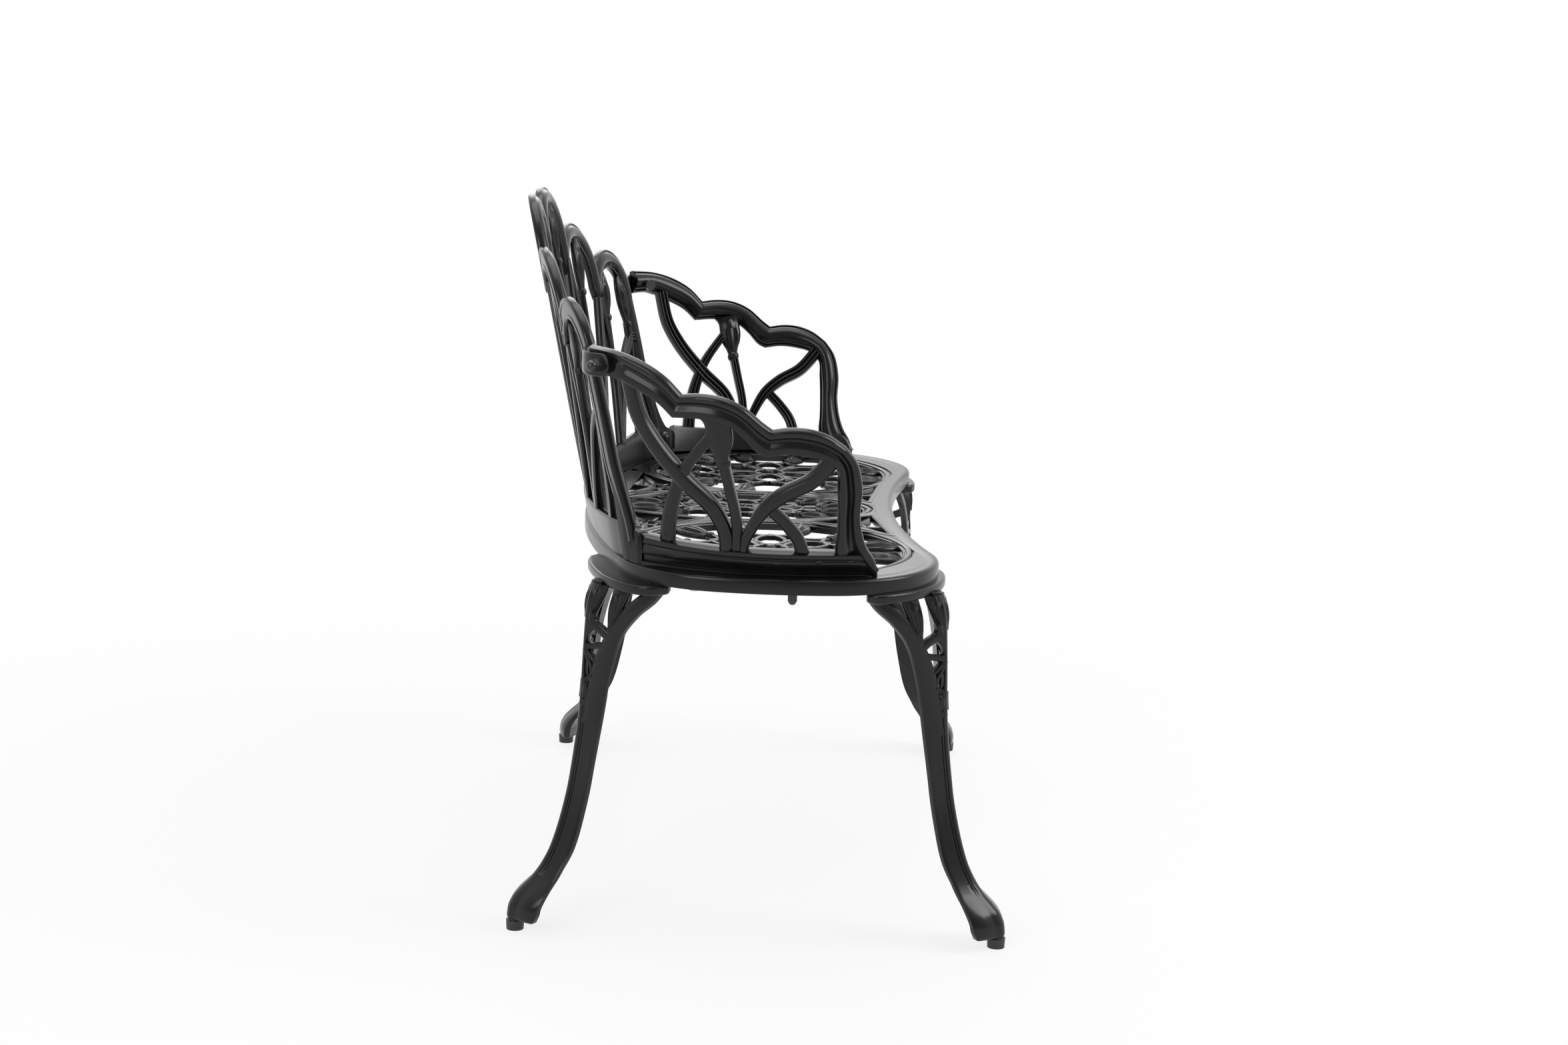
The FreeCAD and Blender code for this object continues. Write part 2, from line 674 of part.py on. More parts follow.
def arm_band_faces():
    """Tulip, stem and the four leaf bands."""
    band = size("band_width")
    base = Vector(18, size("arm_bottom_rail") + 12, 0)
    knob = Vector(37.5, 127, 0)
    return [
        lens(Vector(46, 182, 0), knob, size("tulip_width") + 4),
        disc(knob, size("stem_width") * 0.75),
        bowed(knob, Vector(20, 24, 0), -3, size("stem_width") + 1),
        bowed(Vector(140, 212, 0), Vector(81, 107, 0), 12, band),
        bowed(Vector(81, 107, 0), Vector(32, 24, 0), -9, band),
        bowed(Vector(54, 154, 0), Vector(97, 20, 0), 13, band),
        bowed(Vector(-78, 136, 0), Vector(-22, 90, 0), -8, band),
        bowed(Vector(-22, 90, 0), Vector(13, 24, 0), 9, band),
        bowed(Vector(-14, 78, 0), Vector(-51, 20, 0), -10, band),
        disc(base, band),
    ]


def arm_sheet(wall_alias, name):
    """A bent, outward leaning sheet that the arm's pattern is cut from."""
    axis_x = size("arm_foot_x") - size("arm_radius") / math.cos(arm_lean)
    middle = seat_top + size("arm_bottom_rail") / 2
    rise = Vector(math.sin(arm_lean), 0, math.cos(arm_lean))
    start = Vector(axis_x, arm_middle_y, middle) - rise * size("arm_radius")
    outer = bind(doc.addObject("Part::Cylinder", name + "_outer"),
                 Radius=f"dims.arm_radius + dims.{wall_alias} / 2", Height="dims.arm_radius * 2.2")
    inner = bind(doc.addObject("Part::Cylinder", name + "_inner"),
                 Radius=f"dims.arm_radius - dims.{wall_alias} / 2", Height="dims.arm_radius * 2.2")
    for part in (outer, inner):
        part.Placement = Placement(start, Rotation(Vector(0, 1, 0), math.degrees(arm_lean)))
    sheet = doc.addObject("Part::Cut", name)
    sheet.Base = outer
    sheet.Tool = inner
    return sheet


def arm_bars(name, faces, sheet):
    """The part of the arm's sheet that lies on the pattern."""
    bars = prism(faces, size("seat_half_length"))
    side_view = Rotation(Vector(0, 1, 0), Vector(0, 0, 1), Vector(1, 0, 0))
    bars.Placement = Placement(Vector(size("seat_half_length") * 0.5, 0, seat_top), side_view)
    pattern = feature(name + "_pattern", bars)
    common = doc.addObject("Part::Common", name)
    common.Base = sheet
    common.Tool = pattern
    return common


arm_rails = arm_bars("arm_rails", arm_rail_faces(), arm_sheet("arm_rail_wall", "arm_rail_sheet"))
arm_bands = arm_bars("arm_bands", arm_band_faces(), arm_sheet("arm_wall", "arm_sheet"))
doc.recompute()


def arm_shape():
    """Rails and bands, cut level on the seat, with the screw's flat end."""
    body = arm_rails.Shape.fuse(arm_bands.Shape)
    long = size("seat_half_length")
    under = Part.makeBox(2 * long, 2 * long, seat_top, Vector(0, -long, 0))
    body = body.cut(under)
    front = screw_back * -tab_half
    rear = screw_back * (tab_half * 0.7)
    face = polygon(screw_spot - screw_out * rail_half + front, screw_spot + screw_out * rail_half + front,
                   screw_spot + screw_out * rail_half + rear, screw_spot - screw_out * rail_half + rear)
    height = size("ear_height") * 0.8
    tab = prism([face], height)
    tab.translate(Vector(0, 0, screw_z - height / 2))
    near = screw_spot + screw_out * rail_half
    far = screw_spot + screw_out * (rail_half * 6)
    outside = polygon(near + front * 1.6, far + front * 1.6, far + rear * 3, near + rear * 3)
    clear = prism([outside], size("ear_height") + 20)
    clear.translate(Vector(0, 0, screw_z - size("ear_height") / 2 - 10))
    body = body.cut(clear).fuse(tab).cut(end_plate(size("part_gap")))
    hole = Part.makeCylinder(size("big_bolt_radius") + size("hole_fit"), ear_far * 4,
                             screw_spot - screw_out * ear_far * 2 + Vector(0, 0, screw_z), screw_out)
    head_seat = Part.makeCylinder(size("big_hex") + 1, ear_far * 2,
                                  screw_spot - screw_out * rail_half + Vector(0, 0, screw_z), screw_out * -1)
    body = body.cut(hole).cut(head_seat)
    tapped = size("small_bolt_radius") + size("bolt_fit")
    for place in (arm_bolt, arm_stud):
        body = body.cut(upright(place, tapped, seat_top - 1, seat_top + size("bolt_bite") + 1))
    return body.removeSplitter()


left_arm = node(feature("arm_casting", arm_shape()), "left_arm")
right_arm = doc.addObject("Part::Mirroring", "arm_mirror")
right_arm.Source = left_arm
right_arm.Base = (0, 0, 0)
right_arm.Normal = (1, 0, 0)
node(right_arm, "right_arm")


# Legs, drawn with x pointing out from the seat's corner centre

hoof_low = size("pad_height") + size("collar_height")
flange_low = skirt_low - size("flange_height")
half_vee = math.radians(size("leg_vee") / 2)
web_left = Vector(-math.cos(half_vee), math.sin(half_vee), 0)
web_right = Vector(-math.cos(half_vee), -math.sin(half_vee), 0)


def leg_levels():
    """Height, reach past the knee and web width of the leg's sections, from hoof to flange."""
    sweep = size("leg_sweep")
    shank = size("shank_width")
    span = flange_low - hoof_low
    wing = size("wing_reach")
    return [
        (hoof_low + size("hoof_height"), sweep * 0.735, shank * 1.20),
        (hoof_low + span * 0.15, sweep * 0.565, shank * 1.14),
        (hoof_low + span * 0.203, sweep * 0.424, shank * 1.07),
        (hoof_low + span * 0.31, sweep * 0.27, shank * 1.02),
        (hoof_low + span * 0.42, sweep * 0.165, shank),
        (hoof_low + span * 0.66, sweep * 0.035, shank * 1.18),
        (hoof_low + span * 0.83, 0, shank * 1.6),
        (hoof_low + span * 0.93, -sweep * 0.03, wing * 0.73),
        (flange_low + 2, -sweep * 0.1, wing),
    ]


def vee(height, reach, width):
    """A V-shaped wire: two webs of even wall from the outer corner."""
    tip = Vector(reach, 0, height)
    inside = (web_left + web_right) * size("leg_wall")
    return Part.makePolygon([
        tip, tip + web_left * width, tip + web_left * width + web_right * size("leg_wall"), tip + inside,
        tip + web_right * width + web_left * size("leg_wall"), tip + web_right * width, tip])


def rhomb(height, reach, width):
    """A four-sided wire: the hoof's solid section."""
    tip = Vector(reach, 0, height)
    return Part.makePolygon([tip, tip + web_left * width, tip + (web_left + web_right) * width,
                             tip + web_right * width, tip])


def web_window(knee, points, side):
    """A prism through one web; points are (length along the web, height above the hoof)."""
    along = web_left if side > 0 else web_right
    normal = Vector(along.y, -along.x, 0)
    reach = size("leg_wall") * 3
    corners = [Vector(knee, 0, hoof_low + z) + along * a - normal * reach for a, z in points]
    return polygon(*corners).extrude(normal * (reach * 2))


def front_flange():
    """A front leg's flange, in the leg's own frame: a piece of a ring round the seat's corner."""
    return plan_ring(Vector(0, 0, 0), size("flange_inner"), corner + size("flange_lip"),
                     -size("flange_half_angle"), size("flange_half_angle"), flange_low, skirt_low)


def rear_flange():
    """The left rear leg's flange, in the leg's own frame: a band along the seat's edge."""
    start = size("rear_flange_start")
    end = size("rear_flange_end")
    band = outline(-size("flange_lip")).cut(outline(corner - size("flange_inner")))
    wedge = polygon(rear_corner, polar(rear_corner, corner * 3, start),
                    polar(rear_corner, corner * 3, (start + end) / 2), polar(rear_corner, corner * 3, end))
    plate = prism(band.common(wedge).Faces, skirt_low - flange_low)
    plate.translate(Vector(0, 0, flange_low) - rear_corner)
    plate.rotate(Vector(0, 0, 0), Vector(0, 0, 1), -size("rear_leg_angle"))
    return plate


def leg_shape(knee, flange):
    """One leg: hoof, V-shaped shank, winged knee with windows, and the top flange."""
    shank = Part.makeLoft([vee(z, knee + reach, width) for z, reach, width in leg_levels()], True, False)
    top, top_reach, top_width = leg_levels()[0]
    sweep = size("leg_sweep")
    tall = size("hoof_height")
    hoof_levels = [(hoof_low, sweep, size("hoof_width")),
                   (hoof_low + tall * 0.25, sweep * 0.985, size("hoof_width")),
                   (hoof_low + tall * 0.55, sweep * 0.92, size("hoof_width") * 0.97),
                   (hoof_low + tall * 0.8, sweep * 0.84, size("hoof_width") * 0.92),
                   (top, top_reach, top_width)]
    hoof = Part.makeLoft([rhomb(z, knee + reach, width) for z, reach, width in hoof_levels], True, False)
    body = shank.multiFuse([hoof, flange])
    span = flange_low - hoof_low
    wing = size("wing_reach")
    windows = [
        [(wing * 0.20, span - 3), (wing * 0.82, span - 3),
         (wing * 0.38, span * 0.885), (wing * 0.24, span * 0.84)],
        [(wing * 0.13, span * 0.82), (wing * 0.24, span * 0.79), (wing * 0.14, span * 0.75)],
        [(wing * 0.13, span * 0.73), (wing * 0.22, span * 0.70), (wing * 0.13, span * 0.66)],
    ]
    for points in windows:
        for side in (-1, 1):
            body = body.cut(web_window(knee, points, side))
    thread = size("stud_radius") + size("running_fit")
    depth = size("stud_reach") + size("stud_travel_room")
    foot = Vector(knee + sweep - size("foot_inset"), 0, 0)
    body = body.cut(upright(foot, thread, hoof_low - 1, hoof_low + depth))
    hole = size("big_bolt_radius") + size("hole_fit")
    for side in (-1, 1):
        spot = polar(Vector(0, 0, 0), size("leg_bolt_radius"), side * size("leg_bolt_angle"))
        body = body.cut(upright(spot, hole, flange_low - 1, skirt_low + 1))
        seat = upright(spot, size("big_washer") + 1, flange_low - 30, flange_low)
        body = body.cut(seat)
    return body


front_leg = leg_shape(size("front_knee_reach"), front_flange())
rear_leg = leg_shape(size("rear_knee_reach"), rear_flange())
leg_castings = {
    "front_left": front_leg,
    "front_right": front_leg,
    "rear_left": rear_leg,
    "rear_right": rear_leg.mirror(Vector(0, 0, 0), Vector(0, 1, 0)),
}
foot_places = {}
for corner_name, (centre, turn, knee) in leg_turns.items():
    leg = feature(corner_name + "_leg_casting", leg_castings[corner_name])
    leg.Placement = Placement(centre, Rotation(Vector(0, 0, 1), turn))
    node(leg, corner_name + "_leg")
    foot_places[corner_name] = polar(centre, knee + size("leg_sweep") - size("foot_inset"), turn)


# Turned pieces: a closed profile of (radius, height) expressions revolved about Z

def turned(name, profile):
    """A PartDesign body revolved from a constrained sketch."""
    body = doc.addObject("PartDesign::Body", name)
    plane = [item for item in body.Origin.OriginFeatures if item.Role == "XZ_Plane"][0]
    sketch = body.newObject("Sketcher::SketchObject", name + "_profile")
    sketch.AttachmentSupport = [(plane, "")]
    sketch.MapMode = "FlatFace"
    count = len(profile)
    guess = [Vector(0 if radius is None else 3 + i, 0 if height is None else 5 * i, 0)
             for i, (radius, height) in enumerate(profile)]
    for i in range(count):
        sketch.addGeometry(Part.LineSegment(guess[i], guess[(i + 1) % count]), False)
    for i in range(count):
        sketch.addConstraint(Sketcher.Constraint("Coincident", i, 2, (i + 1) % count, 1))
    for i, (radius, height) in enumerate(profile):
        for word, expression, axis in (("DistanceX", radius, -2), ("DistanceY", height, -1)):
            if expression is None:
                sketch.addConstraint(Sketcher.Constraint("PointOnObject", i, 1, axis))
                continue
            place = guess[i].x if word == "DistanceX" else guess[i].y
            index = sketch.addConstraint(Sketcher.Constraint(word, -1, 1, i, 1, max(place, 1.0)))
            sketch.setExpression(f"Constraints[{index}]", expression)
    turning = body.newObject("PartDesign::Revolution", name + "_turned")
    turning.Profile = sketch
    turning.ReferenceAxis = (sketch, ["V_Axis"])
    turning.Angle = 360
    body.Tip = turning
    return body


PAD = (
    (None, None),
    ("dims.pad_radius - dims.pad_taper", None),
    ("dims.pad_radius", "dims.pad_height"),
    ("dims.stud_radius + dims.running_fit", "dims.pad_height"),
    ("dims.stud_radius + dims.running_fit", "dims.pad_floor"),
    (None, "dims.pad_floor"),
)
STUD = (
    (None, "dims.pad_floor"),
    ("dims.stud_radius", "dims.pad_floor"),
    ("dims.stud_radius", "dims.pad_height"),
    ("dims.collar_radius", "dims.pad_height"),
    ("dims.collar_radius", "dims.pad_height + dims.collar_height"),
    ("dims.stud_radius", "dims.pad_height + dims.collar_height"),
    ("dims.stud_radius", "dims.pad_height + dims.collar_height + dims.stud_reach"),
    (None, "dims.pad_height + dims.collar_height + dims.stud_reach"),
)
for corner_name, place in foot_places.items():
    for piece, profile in (("foot_pad", PAD), ("foot_stud", STUD)):
        body = turned(f"{corner_name}_{piece}_body", profile)
        body.Placement = Placement(place, Rotation())
        node(body, f"{corner_name}_{piece}")
doc.recompute()


# Fasteners: one pattern of each kind, then a group of copies in place

def joined(kind, name, base, tool):
    """A boolean of two document objects."""
    result = doc.addObject("Part::" + kind, name)
    result.Base = base
    result.Tool = tool
    return result


def washer(name, radius_alias, bolt_alias):
    """A flat washer that lies above z = 0."""
    rim = bind(doc.addObject("Part::Cylinder", name + "_rim"),
               Radius=f"dims.{radius_alias}", Height="dims.washer_thick")
    hole = bind(doc.addObject("Part::Cylinder", name + "_hole"),
                Radius=f"dims.{bolt_alias} + dims.hole_fit", Height="dims.washer_thick")
    return joined("Cut", name, rim, hole)


def hex_bolt(name, hex_alias, head_alias, bolt_alias, length):
    """A hexagon bolt whose head hangs below z = 0 and whose shank rises by length."""
    head = bind(doc.addObject("Part::Prism", name + "_head"),
                Circumradius=f"dims.{hex_alias}", Height=f"dims.{head_alias}")
    bind(head, Placement__Base__z=f"-dims.{head_alias}")
    shank = bind(doc.addObject("Part::Cylinder", name + "_shank"), Radius=f"dims.{bolt_alias}", Height=length)
    return joined("Fuse", name, head, shank)


def cap_nut(name, hex_alias, bolt_alias):
    """A domed nut above z = 0 with a blind hole from below."""
    nut = bind(doc.addObject("Part::Prism", name + "_hexagon"),
               Circumradius=f"dims.{hex_alias}", Height="dims.nut_height")
    dome = bind(doc.addObject("Part::Sphere", name + "_dome"), Radius=f"dims.{hex_alias} * 0.8")
    bind(dome, Placement__Base__z="dims.nut_height")
    solid = joined("Fuse", name + "_solid", nut, dome)
    hole = bind(doc.addObject("Part::Cylinder", name + "_hole"),
                Radius=f"dims.{bolt_alias} + dims.bolt_fit", Height="dims.nut_height")
    return joined("Cut", name, solid, hole)


def group(name, pattern, placements):
    """Copies of a pattern as one node of separate solids."""
    copies = []
    for placement in placements:
        copy = pattern.Shape.copy()
        copy.Placement = placement
        copies.append(copy)
    return node(feature(name + "_group", Part.makeCompound(copies)), name)


washer_thick = size("washer_thick")
big_washer = washer("big_washer_pattern", "big_washer", "big_bolt_radius")
small_washer = washer("small_washer_pattern", "small_washer", "small_bolt_radius")
leg_bolt = hex_bolt("leg_bolt_pattern", "big_hex", "big_head", "big_bolt_radius",
                    "dims.washer_thick + dims.flange_height + dims.bolt_bite")
small_bolt = hex_bolt("small_bolt_pattern", "small_hex", "small_head", "small_bolt_radius",
                      "dims.washer_thick + dims.seat_skirt + dims.bolt_bite")
arm_stud_rod = bind(doc.addObject("Part::Cylinder", "arm_stud_pattern"), Radius="dims.small_bolt_radius",
                    Height="dims.nut_height + dims.washer_thick + dims.seat_skirt + dims.bolt_bite")
small_nut = cap_nut("small_nut_pattern", "small_hex", "small_bolt_radius")
big_nut = cap_nut("big_nut_pattern", "big_hex", "big_bolt_radius")
pan_head = bind(doc.addObject("Part::Cylinder", "pan_head"),
                Radius="dims.big_hex", Height="dims.big_head * 0.8")
bind(pan_head, Placement__Base__z="-dims.big_head * 0.8")
pan_shank = bind(doc.addObject("Part::Cylinder", "pan_shank"), Radius="dims.big_bolt_radius",
                 Height="dims.arm_rail_wall + dims.ear_wall + dims.washer_thick + dims.nut_height")
pan_screw = joined("Fuse", "pan_screw_pattern", pan_head, pan_shank)
doc.recompute()


def standing(places, height):
    """Upright placements at a height."""
    return [Placement(Vector(place.x, place.y, height), Rotation()) for place in places]


def hanging(places, height):
    """Upside-down placements at a height."""
    return [Placement(Vector(place.x, place.y, height), Rotation(Vector(1, 0, 0), 180)) for place in places]


def along_screws(distance):
    """Placements on the two arm-to-back screws, this far out from the rail's middle."""
    found = []
    for side in (1, -1):
        out = Vector(screw_out.x * side, screw_out.y, 0)
        spot = Vector(screw_spot.x * side, screw_spot.y, screw_z) + out * distance
        found.append(Placement(spot, Rotation(Vector(0, 0, 1), out)))
    return found


back_places = both_sides(back_bolts)
arm_places = both_sides([arm_bolt])
stud_places = both_sides([arm_stud])
group("leg_bolts", leg_bolt, standing(leg_bolts, flange_low - washer_thick))
group("leg_washers", big_washer, standing(leg_bolts, flange_low - washer_thick))
group("back_bolts", small_bolt, standing(back_places, skirt_low - washer_thick))
group("back_washers", small_washer, standing(back_places, skirt_low - washer_thick))
group("arm_bolts", small_bolt, standing(arm_places, skirt_low - washer_thick))
group("arm_bolt_washers", small_washer, standing(arm_places, skirt_low - washer_thick))
group("arm_studs", arm_stud_rod, standing(stud_places, skirt_low - washer_thick - size("nut_height")))
group("arm_stud_washers", small_washer, standing(stud_places, skirt_low - washer_thick))
group("arm_stud_nuts", small_nut, hanging(stud_places, skirt_low - washer_thick))
group("ear_screws", pan_screw, along_screws(-rail_half))
group("ear_washers", big_washer, along_screws(ear_far))
group("ear_nuts", big_nut, along_screws(ear_far + washer_thick))


# Check and write

doc.recompute()
for obj in doc.Objects:
    if "Invalid" in obj.State or "Error" in obj.State:
        raise RuntimeError(f"{obj.Name} failed to compute")
for obj in nodes:
    if obj.Shape.isNull() or not obj.Shape.isValid():
        raise RuntimeError(f"{obj.Label} has no valid shape")
os.makedirs("parts", exist_ok=True)
for obj in nodes:
    obj.Shape.exportStep(f"parts/{obj.Label}.step")
    box = obj.Shape.BoundBox
    print(f"{obj.Label}: {len(obj.Shape.Solids)} solids, {obj.Shape.Volume / 1000:.1f} cm3, "
          f"x {box.XMin:.1f} {box.XMax:.1f} y {box.YMin:.1f} {box.YMax:.1f} z {box.ZMin:.1f} {box.ZMax:.1f}")
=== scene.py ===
import json
import math

import bmesh
import bpy
import numpy as np
from mathutils import Matrix


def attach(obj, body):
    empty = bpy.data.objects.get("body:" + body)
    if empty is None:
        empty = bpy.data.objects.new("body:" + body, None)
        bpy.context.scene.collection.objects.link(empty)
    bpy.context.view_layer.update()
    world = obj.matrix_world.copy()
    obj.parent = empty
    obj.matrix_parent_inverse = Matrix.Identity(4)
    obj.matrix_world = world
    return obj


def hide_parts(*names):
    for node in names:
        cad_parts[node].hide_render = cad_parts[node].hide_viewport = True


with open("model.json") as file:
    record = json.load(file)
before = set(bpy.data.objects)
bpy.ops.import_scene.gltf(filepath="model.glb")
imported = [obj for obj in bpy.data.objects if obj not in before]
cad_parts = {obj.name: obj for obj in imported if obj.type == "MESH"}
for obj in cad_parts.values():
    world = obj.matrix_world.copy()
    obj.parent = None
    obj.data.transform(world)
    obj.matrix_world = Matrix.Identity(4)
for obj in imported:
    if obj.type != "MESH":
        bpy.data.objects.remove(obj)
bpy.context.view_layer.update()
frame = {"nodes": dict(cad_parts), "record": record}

# Garden bench in cast aluminium. Lengths are in millimetres until a mesh is made.
MM = 0.001
SEAT_TOP = 420.0
SKIRT = 17.0


# Smooth curves and flat paths

def smooth(knots, values, level=True):
    """A smooth function through knots, in cubic pieces.

    A knot's slope is the harmonic mean of its neighbours' where level, so that nothing overshoots,
    and their plain mean otherwise.
    """
    knots = np.asarray(knots, float)
    values = np.asarray(values, float)
    steps = np.diff(values) / np.diff(knots)
    slopes = np.gradient(values, knots)
    if level:
        before, after = steps[:-1], steps[1:]
        product = before * after
        slopes[1:-1] = np.where(product > 0, 2 * product / np.where(product > 0, before + after, 1), 0)

    def at(x):
        x = np.clip(x, knots[0], knots[-1])
        i = np.clip(np.searchsorted(knots, x) - 1, 0, len(knots) - 2)
        gap = knots[i + 1] - knots[i]
        t = (x - knots[i]) / gap
        return ((2 * t**3 - 3 * t**2 + 1) * values[i] + (t**3 - 2 * t**2 + t) * gap * slopes[i]
                + (3 * t**2 - 2 * t**3) * values[i + 1] + (t**3 - t**2) * gap * slopes[i + 1])
    return at


def arc(start, middle, end, count=28):
    """Points on the circle through three points; nearly straight triples give a straight line."""
    p, m, q = (np.asarray(v, float) for v in (start, middle, end))
    turn = (m[0] - p[0]) * (q[1] - p[1]) - (m[1] - p[1]) * (q[0] - p[0])
    if abs(turn) < 1e-3 * np.sum((q - p)**2):
        return p + (q - p) * np.linspace(0, 1, count)[:, None]
    lines = 2 * np.array([m - p, q - p])
    centre = np.linalg.solve(lines, [m @ m - p @ p, q @ q - p @ p])
    angles = np.unwrap([math.atan2(*(v - centre)[::-1]) for v in (p, m)])
    last = math.atan2(*(q - centre)[::-1])
    way = math.copysign(1, turn)
    while (last - angles[0]) * way < 0:
        last += way * 2 * math.pi
    sweep = np.linspace(angles[0], last, count)
    return centre + np.linalg.norm(p - centre) * np.stack([np.cos(sweep), np.sin(sweep)], 1)


def through(points, count):
    """A smooth curve through points, with the distance along the chords as its parameter."""
    points = np.asarray(points, float)
    run = np.concatenate([[0], np.cumsum(np.linalg.norm(np.diff(points, axis=0), axis=1))])
    at = np.linspace(0, run[-1], count)
    return np.stack([smooth(run, points[:, 0], False)(at), smooth(run, points[:, 1], False)(at)], 1)


def chain(*pieces):
    """Paths joined end to end, with each shared end kept once."""
    return np.vstack([pieces[0]] + [piece[1:] for piece in pieces[1:]])


def full_turn(count):
    """Evenly spaced angles of a full turn."""
    return np.linspace(0, 2 * math.pi, count, endpoint=False)


def oval(centre, half_x, half_y, count):
    """Points of an ellipse, anticlockwise."""
    turn = full_turn(count)
    return centre + np.stack([half_x * np.cos(turn), half_y * np.sin(turn)], 1)


def sideways(path, closed):
    """Left-hand unit vectors of a path, lengthened at corners so that a bar keeps its width there."""
    if closed:
        before = path - np.roll(path, 1, 0)
        after = np.roll(path, -1, 0) - path
    else:
        step = np.diff(path, axis=0)
        before = np.vstack([step[:1], step])
        after = np.vstack([step, step[-1:]])
    a, b = (np.stack([-d[:, 1], d[:, 0]], 1) / np.linalg.norm(d, axis=1, keepdims=True)
            for d in (before, after))
    return (a + b) / np.maximum(1 + np.sum(a * b, 1, keepdims=True), 0.3)


def raised(plan, height):
    """Plan points with their heights."""
    return np.concatenate([plan, np.broadcast_to(height, plan.shape[:-1])[..., None]], -1)


# Shells: arrays of points and lists of faces

def tube(points, closed=False):
    """A grid of rings as a closed shell: quads between rings, and a fan at each open end."""
    rings, around = points.shape[:2]
    index = np.arange(rings * around).reshape(rings, around)
    low = index if closed else index[:-1]
    high = np.roll(index, -1, 0) if closed else index[1:]
    quads = np.stack([low, np.roll(low, -1, 1), np.roll(high, -1, 1), high], -1).reshape(-1, 4)
    verts = points.reshape(-1, 3)
    faces = quads.tolist()
    if not closed:
        ends = np.array([points[0].mean(0), points[-1].mean(0)])
        for ring, middle in ((index[0], len(verts)), (index[-1], len(verts) + 1)):
            faces += np.stack([ring, np.roll(ring, -1), np.full(around, middle)], 1).tolist()
        verts = np.vstack([verts, ends])
    return verts, faces


def off_sheet(sheet, spots, off, facing):
    """Points off a sheet along its unit normals, which come from small steps along its two parameters."""
    step = 0.05
    along = sheet(spots + [step, 0]) - sheet(spots - [step, 0])
    up = sheet(spots + [0, step]) - sheet(spots - [0, step])
    out = np.cross(along, up) * facing
    return sheet(spots) + out / np.linalg.norm(out, axis=-1, keepdims=True) * off[..., None]


def bar(sheet, path, profile, facing=1, closed=False, swell=None, lift=0.0):
    """A profile carried along a path on a sheet: its first number runs sideways, its second off the sheet.

    swell widens or narrows the profile along the path, and lift moves it off the sheet.
    """
    size = np.ones(len(path)) if swell is None else swell
    across = profile[:, 0] * size[:, None]
    spots = path[:, None] + sideways(path, closed)[:, None] * across[..., None]
    return tube(off_sheet(sheet, spots, profile[:, 1] + lift, facing), closed)


def between_edges(sheet, first, second, profile, facing=1):
    """A profile carried between two edge lines on a sheet.

    profile is one loop of points, or one loop for each point of the lines. A point's first number is a
    share, -0.5 at the first line and 0.5 at the second, and its other number runs off the sheet.
    """
    profile = np.broadcast_to(profile, (len(first),) + profile.shape[-2:])
    share = profile[..., 0, None]
    spots = first[:, None] * (0.5 - share) + second[:, None] * (0.5 + share)
    return tube(off_sheet(sheet, spots, profile[..., 1], facing))


def on_sheet(sheet, base, tip, along, across, off, facing):
    """A grid of points on a sheet: shares of the way from base to tip, then sideways, then off the sheet."""
    way = np.subtract(tip, base)
    left = np.array([-way[1], way[0]]) / np.linalg.norm(way)
    return off_sheet(sheet, base + along[..., None] * way + across[..., None] * left, off, facing)


def knob(sheet, spot, radius, height, facing=1, lift=0.0):
    """A flattened ball on a sheet: rings of latitude from the back to the front."""
    tall = np.linspace(-1, 1, 11)[1:-1, None] * (math.pi / 2)
    turn = full_turn(16)
    ring = np.stack([np.cos(tall) * np.cos(turn), np.cos(tall) * np.sin(turn)], -1)
    return tube(off_sheet(sheet, spot + radius * ring, height * np.sin(tall) + lift, facing))


TULIP_SHARES = smooth([0, 0.15, 0.32, 0.54, 0.8, 0.92, 1.0], [0.42, 0.56, 0.84, 1.0, 0.97, 1.08, 1.3])
BUD_SHARES = smooth([0, 0.08, 0.25, 0.5, 0.75, 0.92, 1.0], [0.30, 0.36, 0.72, 1.0, 0.86, 0.5, 0.2])


def tulip(sheet, base, tip, half_width, bulge, facing=1, shares=BUD_SHARES, back=4.0, lift=0.0, rib=0.5):
    """A tulip head: half-widths follow a curve from its collar to its crown, the front is a half round.

    A middle petal with a pointed top stands proud of the side petals, and fine ribs follow the length.
    """
    petal_width, petal_rise, petal_edge, rib_pitch = 0.62, 1.3, 26, 15
    u = np.linspace(0, 1, 30)[:, None]
    turn = full_turn(44)
    v = np.cos(turn)
    front = np.sin(turn)
    petal = petal_width * np.sin(math.pi * np.clip(u * 1.12, 0, 1))**0.8
    proud = 1 / (1 + np.exp((np.abs(v) - petal) * petal_edge))
    ribs = rib * np.cos(v * rib_pitch) * np.sin(math.pi * np.clip(u, 0.03, 1))
    high = bulge * (0.45 + 0.55 * shares(u)) * np.sqrt(np.clip(1 - v**2, 0, 1))
    relief = (petal_rise * proud + ribs) * np.abs(front)**0.5
    off = np.where(front > 0, high + relief, -back * np.abs(front)**0.6)
    return tube(on_sheet(sheet, base, tip, u, half_width * shares(u) * v, off + lift, facing))


def leaf(sheet, base, tip, half_width, rise, facing=1, back=4.0, lift=0.0):
    """A pointed leaf: half-widths follow a sine, the front falls from a midrib, with fine veins."""
    vein_rise, vein_pitch = 0.35, 12
    u = np.linspace(0, 1, 20)[:, None]
    turn = full_turn(28)
    v = np.cos(turn)
    front = np.sin(turn)
    width = half_width * (0.04 + np.sin(math.pi * u)**0.8)
    high = rise * (1 - np.abs(v)**1.5) + vein_rise * np.cos(v * vein_pitch) * front
    off = np.where(front > 0, high, -back * np.abs(front)**0.5)
    return tube(on_sheet(sheet, base, tip, u, width * v, off + lift, facing))


